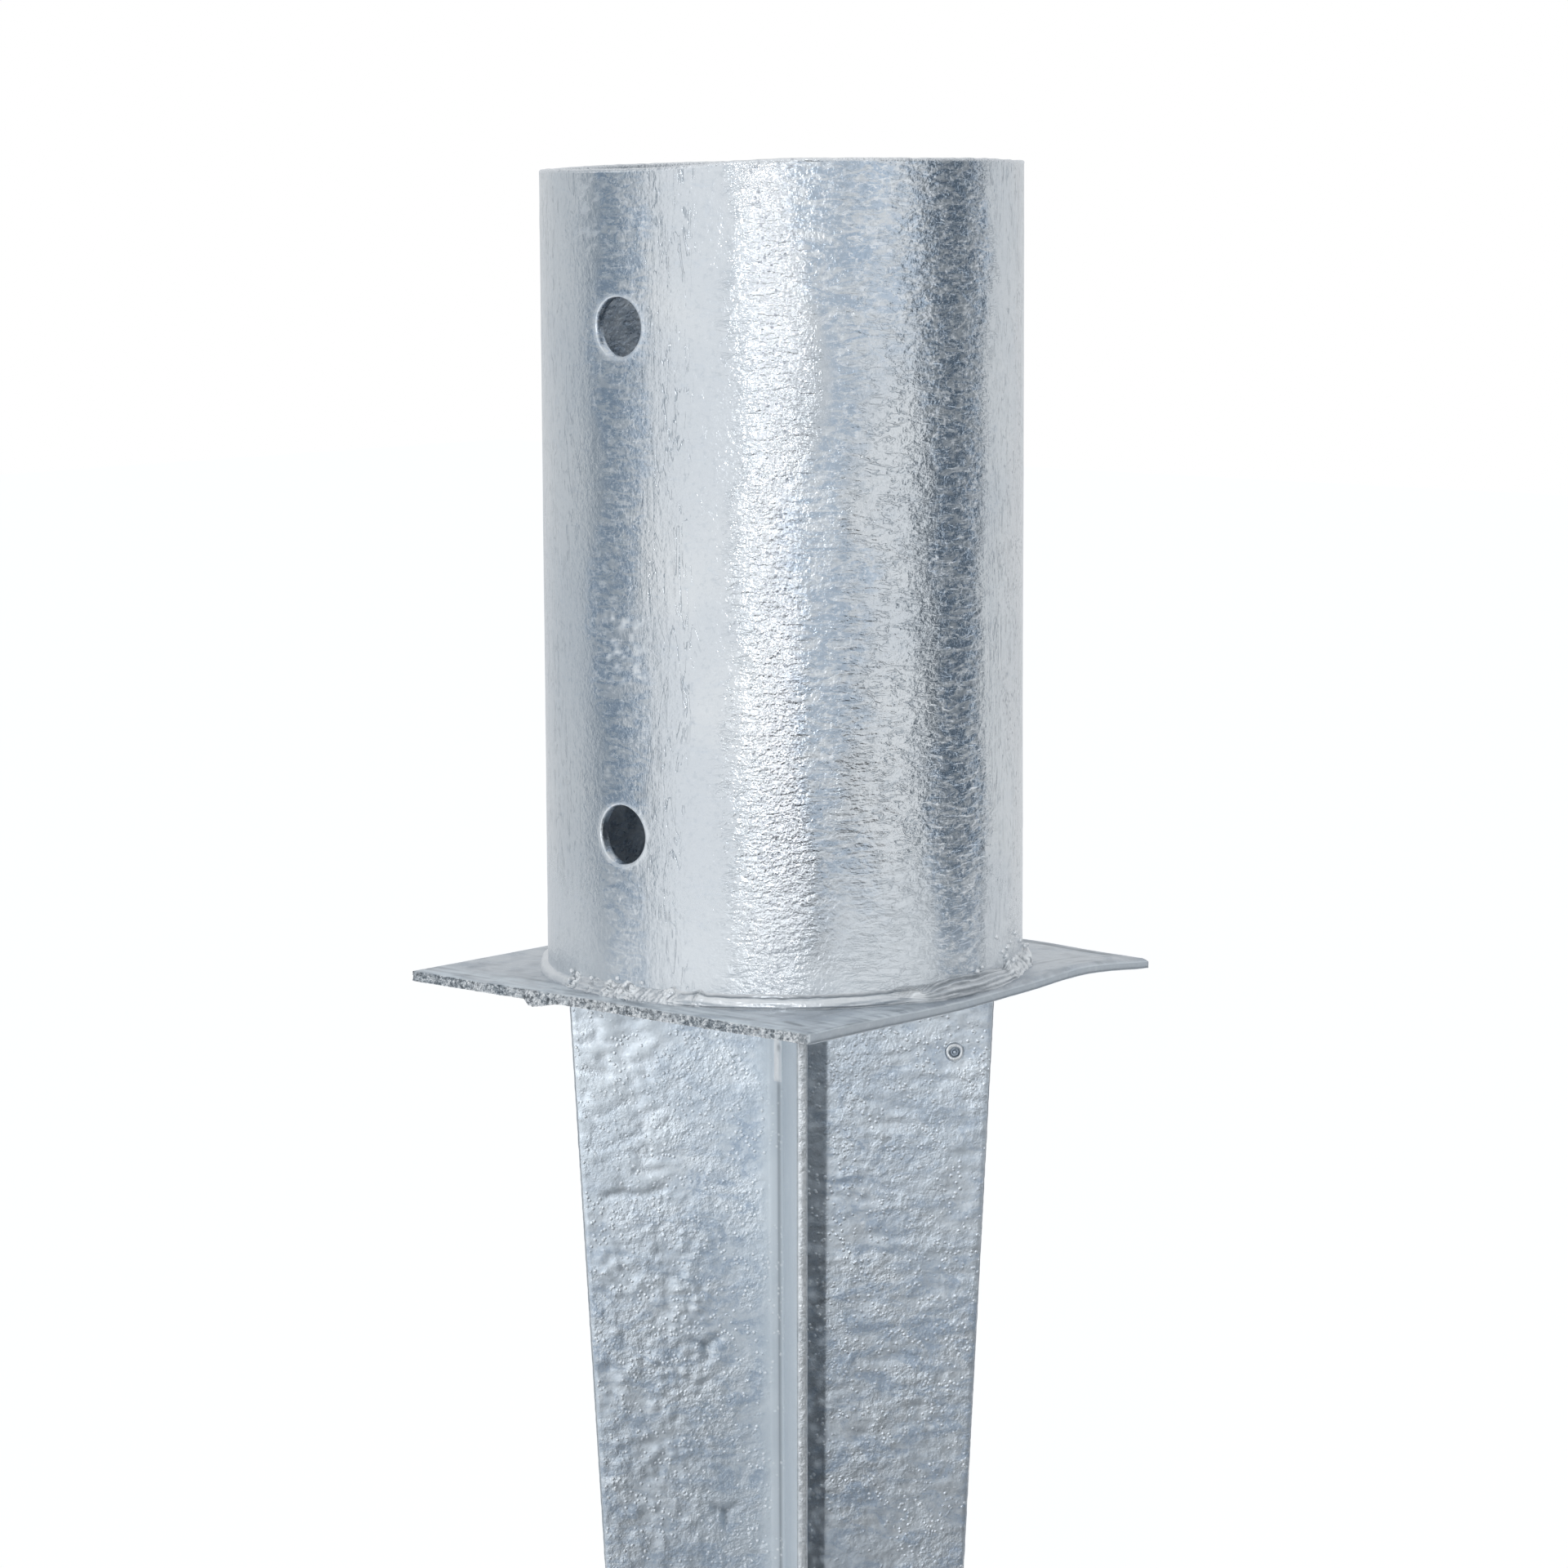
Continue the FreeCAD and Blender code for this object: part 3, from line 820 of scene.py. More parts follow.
# each drop of spatter near the sleeve's weld: angle round the sleeve, height, distance from the axis, radius
WELD_DROPS = (
    (101.5, 10.9, 45.0, 0.55), (113.4, 10.2, 45.1, 0.50), (104.6, 7.8, 45.1, 0.50), (107.7, 8.2, 45.1, 0.60),
    (110.2, 8.9, 45.0, 0.35), (119.0, 8.0, 45.2, 0.45), (106.3, 6.7, 45.3, 0.50), (123.5, 6.4, 45.6, 0.50),
    (109.0, 5.7, 45.9, 0.55), (92.0, 5.6, 45.6, 0.45), (94.2, 6.1, 45.4, 0.38), (-1.5, 5.4, 45.3, 0.45),
    (-19.0, 4.9, 45.6, 0.50), (6.0, 5.2, 45.3, 0.40), (-10.2, 4.6, 45.7, 0.45), (135.0, 5.0, 46.2, 0.4),
    (-60.0, 4.6, 46.0, 0.45), (-100.0, 5.2, 45.6, 0.4), (170.0, 5.0, 45.8, 0.5), (200.0, 4.4, 46.4, 0.45),
)
# how hollow or full a bead's face is: 1 is round, and 2 is flat
BULGE = 1.55
# how far the bead's two toes run on under the skin of what it joins
SINK = 0.12


def fillet(root, across, up, leg_across, leg_up, relief, section):
    """Points of a bead's face. Each station has a corner point, two directions and two leg lengths."""
    t = np.linspace(0.0, 1.0, section)
    sideways = np.sin(t * np.pi / 2.0)
    upwards = np.cos(t * np.pi / 2.0)
    out = leg_across[:, None] * sideways ** BULGE - SINK * (t < 1e-6)
    high = leg_up[:, None] * upwards ** BULGE - SINK * (t > 1.0 - 1e-6)
    grid = root[:, None, :] + across[:, None, :] * out[..., None]
    grid = grid + up[:, None, :] * high[..., None]
    facing = across[:, None, :] * sideways[:, None] + up[:, None, :] * upwards[:, None]
    grid = grid + facing * (relief * np.sin(np.pi * t) ** 0.5)[..., None]
    return grid.reshape(-1, 3)


def make_sleeve_weld(material):
    """The bead round the sleeve's foot, with its passes, flow lines and lumps, and its spatter."""
    stations = 1200
    section = 36
    middle = SLEEVE_RADIUS + 2.0
    theta = np.arange(stations) * 360.0 / stations
    turn = wrapped(theta)
    t = np.linspace(0.0, 1.0, section)[None, :]
    arc = theta / 360.0
    radians = np.radians(theta)
    across = np.stack([np.sin(radians), -np.cos(radians), radians * 0.0], axis=-1)
    up = np.array([[0.0, 0.0, 1.0]])
    root = across * SLEEVE_RADIUS
    root[:, 2] = PLATE_TOP + plate_lift(root[:, 0], root[:, 1])
    leg_up = 2.35 + 0.16 * noise(arc * 26, 0.0, 201, 26) + 0.10 * noise(arc * 90, 0.0, 203, 90)
    leg_across = 2.0 + 0.16 * noise(arc * 20, 7.0, 205, 20) + 0.10 * noise(arc * 90, 0.0, 207, 90)
    # each pass starts with a swelling
    for start, width, high in ((-56.0, 6.0, 0.5), (72.0, 5.0, 0.5), (-145.0, 6.0, 0.9)):
        swell = hump(turn, start, width)
        leg_up += high * swell
        leg_across += 0.5 * high * swell
    leg_up += 0.9 * between(turn, 74.0, 84.0, 94.0, 106.0)
    leg_across += 1.2 * between(turn, 66.0, 80.0, 98.0, 114.0)
    # left of the front it is a thin smooth roll, and then ruffled lumps of zinc
    worm = around(turn, -37.0, 16.0, 5.0)
    leg_up -= 0.80 * worm
    leg_across -= 0.50 * worm
    ruffled = 0.0
    for centre, width, high in ((-17.0, 2.6, 1.1), (-9.5, 1.8, 0.5), (-3.5, 1.8, 1.0),
                                (2.5, 3.0, 1.15), (8.0, 1.6, 0.5), (13.5, 2.2, 0.9), (21.0, 1.6, 0.5)):
        ruffled += high * hump(turn, centre, width)
    leg_up += ruffled * (0.25 + 0.95 * noise(arc * 110, 0.0, 209, 110))
    # cratered lumps at the right
    lumpy = around(turn, 114.5, 8.5, 4.0)
    leg_up += lumpy * (0.25 + 0.85 * noise(arc * 130, 0.0, 245, 130))
    leg_across += lumpy * (0.10 + 0.60 * noise(arc * 120, 0.0, 247, 120))
    lumpy = lumpy[:, None]
    g = turn[:, None]
    s = arc_length(theta[:, None], middle)
    ruffled = np.clip(ruffled, 0.0, 1.2)[:, None]
    worm = worm[:, None]
    # flow lines run along the bead, and bend where two passes meet
    bend = hump(g, 69.0, 4.0) + 0.8 * hump(g, 100.0, 6.0) + hump(g, -56.0, 5.0) + hump(g, -145.0, 6.0)
    lines = noise(arc[:, None] * 26, t * 5.0 + 0.7 * bend, 211, 26)
    lines += 0.6 * noise(arc[:, None] * 50, t * 10.0 + 1.2 * bend, 213, 50)
    flowing = around(g, 86.0, 18.0, 6.0)
    relief = 0.15 * lines * (1.0 + flowing) * (1.0 - 0.9 * worm)
    relief *= 1.0 - 0.5 * around(g, 113.0, 6.0, 4.0)
    # a rounded roll, with a sharp wavy line above it and another at its toe; the roll's top is painted pale
    # and
    # the two lines dark: painted highlight and painted shade
    wave = 0.08 * noise(s / 4.5, 0.0, 215) + 0.04 * noise(s / 1.7, 0.0, 216)
    upper = hump(t - 0.25, wave, 0.115 + 0.03 * noise(s / 3.0, 0.0, 218))
    toe = hump(t - 0.90, 0.03 * noise(s / 4.0, 0.0, 217), 0.055)
    plain = (1.0 - 0.75 * around(g, 92.0, 18.0, 8.0)) * (1.0 - 0.9 * worm)
    plain = plain * (1.0 - 0.85 * around(g, -22.0, 37.0, 4.0)) * (1.0 - 0.8 * np.clip(ruffled, 0.0, 1.0))
    plain *= 1.0 - 0.8 * lumpy
    relief += (hump(t, 0.56, 0.17) * 0.50 - upper * 0.50 - toe * 0.30) * plain
    relief += 0.25 * worm * hump(t, 0.5, 0.30)
    # flowing ridges right of the front, one above the other
    knot = hump(g, 71.5, 3.5)
    drawn = 0.75 + (t - 0.75) * (1.0 + 1.6 * knot)
    ripple = np.sin(2.0 * np.pi * (5.6 * drawn + 0.45 * noise(s / 11.0, t * 2.0, 219)))
    relief += 0.13 * flowing * ripple * np.sin(np.pi * t)
    swirl = np.exp(-((g - 71.8) / 2.1) ** 2 - ((t - 0.66) / 0.19) ** 2)
    relief += 0.40 * swirl
    # the ruffles
    curl = noise(s / 3.0, t * 1.6, 225)
    ridge = 1.0 - np.abs(noise(s / 1.5 + curl, t * 1.5 - curl, 221))
    flakes = 1.0 - np.abs(noise(s / 0.75 + 2.0 * curl, t * 4.2 - curl, 227))
    shards = 0.70 * ridge ** 6 + 0.55 * flakes ** 5 - 0.26
    relief += ruffled * shards
    # crater and blisters at the right
    crater = np.hypot(s - arc_length(115.0, middle), (t - 0.20) * 5.0)
    relief += 0.22 * hump(crater, 1.35, 0.36) - 0.20 * hump(crater, 0.0, 0.9)
    blisters = 0.32 * pimples(s / 1.8, t * 2.6, 231, 0.7)
    relief += around(g, 113.0, 9.0, 3.0) * smooth(1.6, 2.2, crater) * blisters
    pocked = 0.34 * fractal(s / 2.1, t * 3.2, 243, 2)
    pocked += 0.09 - 0.18 * np.abs(noise(s / 1.2, t * 3.8, 249)) ** 0.5
    relief += lumpy * pocked
    # small grain of the skin
    relief += 0.03 * fractal(arc[:, None] * 500, t * 7.0, 241, 2, 500)
    points = [fillet(root, across, up, leg_across, leg_up, relief, section)]
    faces = [grid_faces(stations, section, closed_rows=True)[:, ::-1]]
    # pale on the shard crests, the lumps' tops, the swirl and along the roll's top: pale oxide and painted
    # highlight
    stain = ruffled * smooth(0.02, 0.30, shards) + 0.15 * worm + 0.08
    stain += lumpy * (0.12 + 0.55 * smooth(0.04, 0.22, pocked))
    stain += 0.9 * swirl + 0.25 * np.clip(plain, 0.0, 1.0) * hump(t, 0.62, 0.20)
    stain = [np.clip(stain, 0.0, 0.9).reshape(-1)]
    # dark along the lines above the roll and at its toe, and in the hollows between shards, ripples and
    # pocks: painted shade
    grime = 0.90 * np.maximum(upper, toe) * np.clip(plain, 0.0, 1.0)
    grime += 0.60 * ruffled * smooth(0.0, -0.20, shards) + 0.38 * flowing * smooth(0.0, -0.8, ripple)
    grime += 0.55 * lumpy * smooth(-0.02, -0.20, pocked)
    grime = [np.clip(grime, 0.0, 0.85).reshape(-1)]
    # drops of spatter, each a dented bead of its own half sunk in what it landed on
    rows = 7
    turns = 12
    caps = []
    lon = 2.0 * np.pi * np.arange(turns) / turns
    for index, (angle, z, radius, size) in enumerate(WELD_DROPS):
        first = stations * section + index * rows * turns
        for j in range(rows):
            lat = np.pi * (j + 0.5) / rows
            dent = 1.0 + 0.10 * noise(lon * 0.955, j * 0.6 + index * 5.1, 251, 6)
            ring = [np.sin(lat) * np.cos(lon), np.sin(lat) * np.sin(lon), lon * 0.0 + np.cos(lat)]
            points.append(turned(0.0, radius, z, angle) + np.stack(ring, axis=-1) * (size * dent)[:, None])
            # the drops are pale: pale oxide and painted highlight
            stain.append(np.full(turns, 0.45))
            grime.append(np.zeros(turns))
        faces.append(grid_faces(rows, turns, closed_columns=True, first=first)[:, ::-1])
        last = first + (rows - 1) * turns
        caps += [list(range(first, first + turns)), list(range(last, last + turns))[::-1]]
    points = np.concatenate(points)
    faces = np.concatenate(faces).tolist() + caps
    marks = {"stain": np.concatenate(stain), "grime": np.concatenate(grime)}
    make_piece("zinc_sleeve_weld", points, faces, [material], ["sleeve_weld"], marks)


def make_seam_welds(name, node, facing, material):
    """Rippled stitches in the groove between the two heels."""
    stitches = 5
    pitch = (SPIKE_LENGTH - POINT_LENGTH) / stitches
    length = 40.0
    rows = 140
    columns = 13
    a = np.linspace(-1.0, 1.0, columns)[None, :]
    run = np.linspace(0.0, 1.0, rows)[:, None]
    points = []
    faces = []
    for index in range(stitches):
        depth = run * length
        end = between(run, 0.0, 0.045, 0.955, 1.0)
        seed = 301 + index
        wander = 0.10 * noise(depth / 6.0, 0.0, seed)
        phase = 2.0 * np.pi * (depth / 1.25 - 0.45 * (1.0 - a * a))
        phase += 1.2 * noise(depth / 4.0, a * 2.0, seed + 10)
        out = 3.50 + (0.42 + 0.06 * np.sin(phase)) * (1.0 - a * a)
        out += 0.03 * fractal(depth / 1.5, a * 3.0, seed + 20, 2)
        out = 2.3 + (out - 2.3) * end
        wide = a * (1.74 + wander) * (0.35 + 0.65 * end)
        z = -(index + 0.5) * pitch + length / 2.0 - depth + a * 0.0
        points.append(np.stack([out * facing, wide * facing + out * 0.0, z], axis=-1).reshape(-1, 3))
        faces.append(grid_faces(rows, columns, first=index * rows * columns))
    points = np.concatenate(points)
    marks = {"stain": np.full(len(points), 0.1)}
    faces = np.concatenate(faces)[:, ::-1]
    make_piece(name, points, faces, [material], [node], marks)


def make_fin_welds(name, node, direction, outer_side, material):
    """Two rippled fillets between one fin and the plate's underside."""
    turn = math.radians(direction)
    along = np.array([math.cos(turn), math.sin(turn), 0.0])
    left = np.array([-math.sin(turn), math.cos(turn), 0.0])
    down = np.array([[0.0, 0.0, -1.0]])
    start = REACH_TOP - 5.0
    length = 22.0
    rows = 84
    section = 14
    run = np.linspace(0.0, 1.0, rows)
    points = []
    faces = []
    for k, side in enumerate((1, -1)):
        offset = FACE_OUT if side == outer_side else FACE_IN
        place = start - length * run
        seed = 401 + k + int(direction) % 97
        end = between(run, 0.0, 0.08, 0.92, 1.0)
        leg = (2.3 + 0.18 * noise(place / 5.0, 0.0, seed)) * (0.25 + 0.75 * end)
        root = along[None, :] * place[:, None] + left[None, :] * (side * offset)
        root[:, 2] = plate_lift(root[:, 0], root[:, 1])
        t = np.linspace(0.0, 1.0, section)[None, :]
        phase = place[:, None] / 1.3 - 0.4 * np.sin(np.pi * t)
        phase += 0.25 * noise(place[:, None] / 3.0, t * 2.0, seed + 5)
        relief = 0.07 * np.sin(2.0 * np.pi * phase) * end[:, None]
        points.append(fillet(root, (left * side)[None, :], down, leg, leg, relief, section))
        order = grid_faces(rows, section, first=k * rows * section)
        faces.append(order[:, ::-1] if side == 1 else order)
    points = np.concatenate(points)
    marks = {"stain": np.full(len(points), 0.1)}
    make_piece(name, points, np.concatenate(faces), [material], [node], marks)


# Spike

def fin_reach(depth):
    """Distance from the axis to a fin's outer edge, at that depth under the plate."""
    shoulder = SPIKE_LENGTH - POINT_LENGTH
    taper = REACH_TOP + (REACH_SHOULDER - REACH_TOP) * depth / shoulder
    point = REACH_SHOULDER + (REACH_TIP - REACH_SHOULDER) * (depth - shoulder) / POINT_LENGTH
    return np.where(depth < shoulder, taper, point)


def leg_length(reach, radius):
    """Length of the sheet's face from the middle of the bend to where it reaches that far."""
    on_bend = radius * (np.pi / 4.0 - np.arcsin(np.clip((BEND_TANGENT - reach) / radius, -1.0, 1.0)))
    straight = radius * np.pi / 4.0 + reach - BEND_TANGENT
    return np.where(reach > BEND_TANGENT, straight, on_bend)


def on_leg(length, radius, offset, out):
    """Place and normal on the leg along +X, that far along a face from the middle of the bend."""
    bend = radius * np.pi / 4.0
    turn = -0.75 * np.pi + np.minimum(length, bend) / radius
    x = np.where(length < bend, BEND_TANGENT + radius * np.cos(turn), BEND_TANGENT + length - bend)
    y = np.where(length < bend, BEND_TANGENT + radius * np.sin(turn), offset)
    nx = np.where(length < bend, np.cos(turn), 0.0) * out
    ny = np.where(length < bend, np.sin(turn), -1.0) * out
    return x, y, nx, ny


def flow(s, z, seed):
    """Broad lumps where the zinc ran and froze."""
    warp = 0.7 * noise(s / 7.0, z / 7.0, seed)
    lumps = fractal(s / 6.5 + warp, z / 4.2 - warp, seed + 1, 3)
    return np.maximum(lumps, -0.35) + 0.35 * np.abs(fractal(s / 4.0, z / 2.6, seed + 5, 2))


# Each face of the sheets has a number, from which its noise is drawn. These three have marks of their own.
LEFT_INSIDE = 500
REAR_OUTSIDE = 600
RIGHT_INSIDE = 700


def fin_relief(fin, s, z):
    """Relief, pale oxide and painted light, cold tone, and dirt and painted shade of one face. s is the
    distance from the axis along the fin.
    """
    deep = -z
    base = 0.020 * fractal(s / 14.0, z / 16.0, fin + 2, 2) + 0.014 * fractal(s / 3.0, z / 2.6, fin + 7, 2)
    flat = smooth(4.5, 9.0, s)
    base *= 0.15 + 0.85 * smooth(3.0, 5.5, s)
    stain = np.zeros_like(s)
    grime = np.zeros_like(s)
    # the crease inside the fold: a short bead of zinc at its top, and a dark line below, painted shade in the
    # crease
    middle = s - BEND_TANGENT + BEND_INNER * math.sqrt(0.5)
    end = between(deep, 1.5, 2.8, 19.8, 21.2) * (1.0 - hump(deep, 13.8, 0.7))
    bead = hump(middle, 0.50, 0.40) * end
    crease = hump(middle, 0.0, 0.30) * (1.0 - end)
    zone = smooth(-0.2, 0.35, noise(s / 26.0, z / 42.0, fin + 11))
    cold = 0.30 + 0.35 * between(deep, 30.0, 90.0, 150.0, 220.0)
    cold += 0.35 * smooth(-0.1, 0.5, noise(s / 18.0, z / 30.0, fin + 13))
    if fin == LEFT_INSIDE:
        # frozen flow at the top, then pimples
        away = s + 3.5 * noise(z / 9.0, s / 9.0, 3)
        top = fall(38.0, 46.0, deep + 0.30 * (s - 30.0)) * smooth(20.0, 28.0, away)
        lower = smooth(40.0, 52.0, deep) * smooth(8.0, 20.0, s + 3.0 * noise(z / 8.0, s / 8.0, 5))
        lower *= 1.0 - smooth(150.0, 210.0, deep) * (1.0 - zone)
        warp = 0.8 * noise(s / 8.0, z / 8.0, 510)
        lumps = noise(s / 4.0 + warp, z / 2.2 - warp, 511) + 0.55 * noise(s / 2.0, z / 1.2 - warp, 513)
        h = base + 0.17 * top * np.maximum(lumps, -0.35) + 0.24 * lower * pimples(s / 2.3, z / 2.0, 521, 0.75)
        h += 0.07 * lower * noise(s / 3.6, z / 2.8, 531)
        h += 0.035 * flat * pimples(s / 2.8, z / 2.8, 541, 0.30)
        line = np.abs(z + 41.6 + 0.10 * (s - 28.0) - 0.6 * noise(s / 5.0, 0.0, 551))
        line = hump(line, 0.0, 0.6) * around(s, 29.0, 4.5, 2.5)
        h = h - 0.26 * line + 0.16 * bead
        grime = grime + 0.40 * line + 0.70 * crease
        # darker further below the plate
        grime += (0.08 + 0.24 * smooth(10.0, 95.0, deep)) * (1.0 - 0.6 * smooth(140.0, 240.0, deep))
        # two star-shaped marks
        for ps, pz, size in ((15.6, -72.0, 3.2), (12.0, -105.0, 2.6)):
            ds = s - ps
            dz = z - pz
            for lean in (0.4, 2.5, 4.6):
                along = ds * math.cos(lean) + dz * math.sin(lean)
                beside = -ds * math.sin(lean) + dz * math.cos(lean)
                arm = hump(beside, 0.0, 0.62) * around(along, size / 2.0, size / 2.0, 0.6)
                h -= 0.20 * arm
                grime += 0.32 * arm
        stain = 0.50 * fall(2.8, 6.2, s) * (1.0 - end * fall(0.9, 1.4, middle))
        # the tops of the frozen lumps are painted pale: painted highlight
        stain += 0.30 * top * smooth(-0.2, 0.5, lumps)
        cold = (cold + 0.35 * between(deep, 30.0, 95.0, 150.0, 220.0) - 0.5 * top) * smooth(3.0, 6.0, s)
    elif fin == REAR_OUTSIDE:
        # sideways smears and specks, and the painted shadow of the front fin next to the fold
        h = base + 0.065 * fractal(s / 9.0, z / 2.0, 611, 3)
        h += 0.090 * flat * pimples(s / 2.3, z / 2.1, 621, 0.42)
        stain = 0.7 * pimples(s / 1.8, z / 1.8, 631, 0.45) * fall(7.0, 11.0, s)
        cold = cold + 0.15 + 0.20 * smooth(50.0, 90.0, deep)
        # painted shadow of the front fin, next to the fold
        grime += 0.35 * fall(6.5, 9.5, s)
    elif fin == RIGHT_INSIDE:
        # drawn smooth
        h = 0.3 * base + 0.02 * flat * pimples(s / 4.0, z / 4.0, 711, 0.10)
        h += smooth(130.0, 190.0, deep) * zone * 0.10 * pimples(s / 2.3, z / 2.1, 721, 0.6)
        h += 0.16 * bead
        stain = stain + 0.60 - 0.30 * smooth(120.0, 180.0, deep)
        grime += 0.65 * crease
        cold *= smooth(100.0, 160.0, deep)
    else:
        h = base + zone * 0.12 * flat * pimples(s / 2.3, z / 2.1, fin + 21, 0.6)
        h += (1.0 - zone) * 0.045 * fractal(s / 9.0, z / 2.4, fin + 31, 3)
        h += 0.22 * fall(40.0, 90.0, deep) * zone * smooth(16.0, 28.0, s) * flow(s, z, fin + 41)
    return h, stain, np.clip(cold, 0.0, 1.0), np.clip(grime, 0.0, 0.8)


# a cut edge's cross-section: share of the sheet's thickness, how far it is drawn in, and darkness on its
# rounded corners, painted shade
CUT_SECTION = ((0.05, 0.07, 0.6), (0.22, 0.0, 0.0), (0.5, -0.03, 0.0), (0.78, 0.0, 0.0), (0.95, 0.07, 0.6))
# depths between which the crease inside the fold holds a bead
CREASE_BEAD = (2.0, 20.4)


def make_spike_angle(name, node, turn, fins, shift, materials, beaded):
    """Folded sheet. fins names the relief of its four faces: outer X, outer Y, inner X and inner Y."""
    half = 60
    step = 0.62
    depths = list(np.arange(0.0, 100.0, step))
    while depths[-1] < SPIKE_LENGTH:
        step = min(step * 1.03, 2.6)
        depths.append(depths[-1] + step)
    shoulder = SPIKE_LENGTH - POINT_LENGTH
    depths = [depth for depth in depths if depth < shoulder - 1.0]
    depths = np.concatenate([depths, shoulder + np.linspace(0.0, POINT_LENGTH, 15)])
    rows = len(depths)
    z = -depths[:, None]
    share = ((np.arange(half + 1) / half) ** 1.22)[None, :]
    runs = {}

    def run(x, y, stain, cold, grime, edge=0.0):
        """Columns of points: place, pale oxide and painted light, cold tone, dirt and painted shade, and
        shares of bend and cut edge.
        """
        bent = fall(BEND_TANGENT - 0.4, BEND_TANGENT + 0.6, x[:1])
        return np.stack(np.broadcast_arrays(x, y, stain, cold, grime, bent, edge))

    for leg in ("x", "y"):
        reach = fin_reach(depths) + (shift if leg == "x" else 0.0) * (fin_reach(depths) > 12.0)
        reach += 0.05 * fractal(depths / 2.2, 0.0, 801 + ord(leg), 3)
        ends = []
        for face, radius, offset, out in (("out", BEND_OUTER, -FACE_OUT, 1.0),
                                          ("in", BEND_INNER, FACE_IN, -1.0)):
            length = leg_length(reach, radius)[:, None]
            inset = np.minimum(0.30, 0.3 * length)
            along = share * (length - inset)
            x, y, nx, ny = on_leg(along, radius, offset, out)
            h, stain, cold, grime = fin_relief(fins[face + leg], np.maximum(x, 0.0), z + x * 0.0)
            fade = smooth(0.0, 0.9, (length - inset) - along)
            h = h * (0.35 + 0.65 * fade) * smooth(0.0, 3.0, depths)[:, None]
            runs[leg + face] = run(x + nx * h, y + ny * h, stain, cold, grime)
            ends += on_leg(length, radius, offset, out)[:2]
        # the cut edge, rounded by the zinc
        x_out, y_out, x_in, y_in = ends
        cut = []
        for t, back, dark in CUT_SECTION:
            bump = 0.035 * noise(depths / 0.9, t * 2.0, 811)[:, None]
            x = x_out + (x_in - x_out) * t - back + bump
            cut.append(run(x, y_out + (y_in - y_out) * t, 0.25, 0.0, dark, 1.0))
        runs[leg + "cut"] = np.concatenate(cut, axis=2)
    # the leg along +Y mirrors the one along +X
    for part in ("yout", "yin", "ycut"):
        runs[part][:2] = runs[part][[1, 0]]
    loop = [runs["xout"][..., ::-1], runs["yout"][..., 1:], runs["ycut"],
            runs["yin"][..., ::-1], runs["xin"][..., 1:], runs["xcut"][..., ::-1]]
    x, y, stain, cold, grime, bent, edge = np.concatenate(loop, axis=2)
    width = x.shape[1]
    angle = math.radians(turn)
    wx = x * math.cos(angle) - y * math.sin(angle)
    wy = x * math.sin(angle) + y * math.cos(angle)
    height = z + np.zeros_like(wx)
    height[0] += np.clip(plate_lift(wx[0], wy[0]), 0.0, 1.0)
    points = np.stack([wx, wy, height], axis=-1).reshape(-1, 3)
    body = grid_faces(rows, width, closed_columns=True)
    slots = np.maximum(edge[0, body[:, 0] % width], edge[0, body[:, 1] % width]).astype(np.int32)
    cuts = len(CUT_SECTION)
    inner_start = 2 * half + 1 + cuts
    if beaded:
        crease = inner_start + half
        with_bead = (depths > CREASE_BEAD[0]) & (depths < CREASE_BEAD[1])
        near_crease = np.abs(body[:, 0] % width - crease + 0.5) < 3.0
        slots[near_crease & with_bead[body[:, 0] // width]] = 2
        bent[with_bead, crease - 3:crease + 4] = 0.0
    caps = []
    for row, flip in ((0, False), (rows - 1, True)):
        base = row * width
        inner_end = base + inner_start + 2 * half
        ends = [[base + j, base + j + 1, inner_end - j - 1, inner_end - j] for j in range(2 * half)]
        ends.append([base + 2 * half + k for k in range(cuts + 2)])
        ends.append([inner_end + k for k in range(cuts + 1)] + [base])
        caps += ends if flip else [end[::-1] for end in ends]
    faces = body[:, ::-1].tolist() + caps
    slots = np.concatenate([slots, np.zeros(len(caps), dtype=np.int32)])
    marks = {"stain": stain, "cold": cold, "grime": grime, "bent": bent, "torn": edge}
    marks = {label: values.reshape(-1) for label, values in marks.items()}
    make_piece(name, points, faces, materials, [node], marks, slots)


# Studio

def seen_straight(n):
    """1 where the camera sees a thing itself, mirrored or through glass, and 0 where it only lights."""
    kinds = ("Camera", "Glossy", "Transmission")
    camera, glossy, clear = [n.add("ShaderNodeLightPath", "Is %s Ray" % kind, {}) for kind in kinds]
    return n.larger(n.larger(camera, glossy), clear)


def add_world():
    world = bpy.data.worlds.new("studio_world")
    bpy.context.scene.world = world
    world.use_nodes = True
    n = Nodes(world.node_tree)
    soft = n.add("ShaderNodeBackground", 0, {"Color": (0.96, 0.98, 1.0), "Strength": 0.9})
    white = n.add("ShaderNodeBackground", 0, {"Color": (1.0, 1.0, 1.0), "Strength": 1.0})
    n.end("ShaderNodeOutputWorld", n.add("ShaderNodeMixShader", 0, {0: seen_straight(n), 1: soft, 2: white}))


def add_floor():
    """Pale floor under the spike's point. It shows white, and keeps the object's shadow."""
    size = 8.0
    z = -(SPIKE_LENGTH + 0.2) * MM
    material, n = new_material("floor_paper")
    paper = n.add("ShaderNodeBsdfDiffuse", 0, {"Color": (0.82, 0.82, 0.82)})
    glow = n.add("ShaderNodeEmission", 0, {"Color": (1.0, 1.0, 1.0), "Strength": seen_straight(n) * 0.28})
    n.end("ShaderNodeOutputMaterial", n.add("ShaderNodeAddShader", 0, {0: paper, 1: glow}))
    corners = [(-size, -size, z), (size, -size, z), (size, size, z), (-size, size, z)]
    add_mesh("studio_floor", corners, [(0, 1, 2, 3)], [material], {})


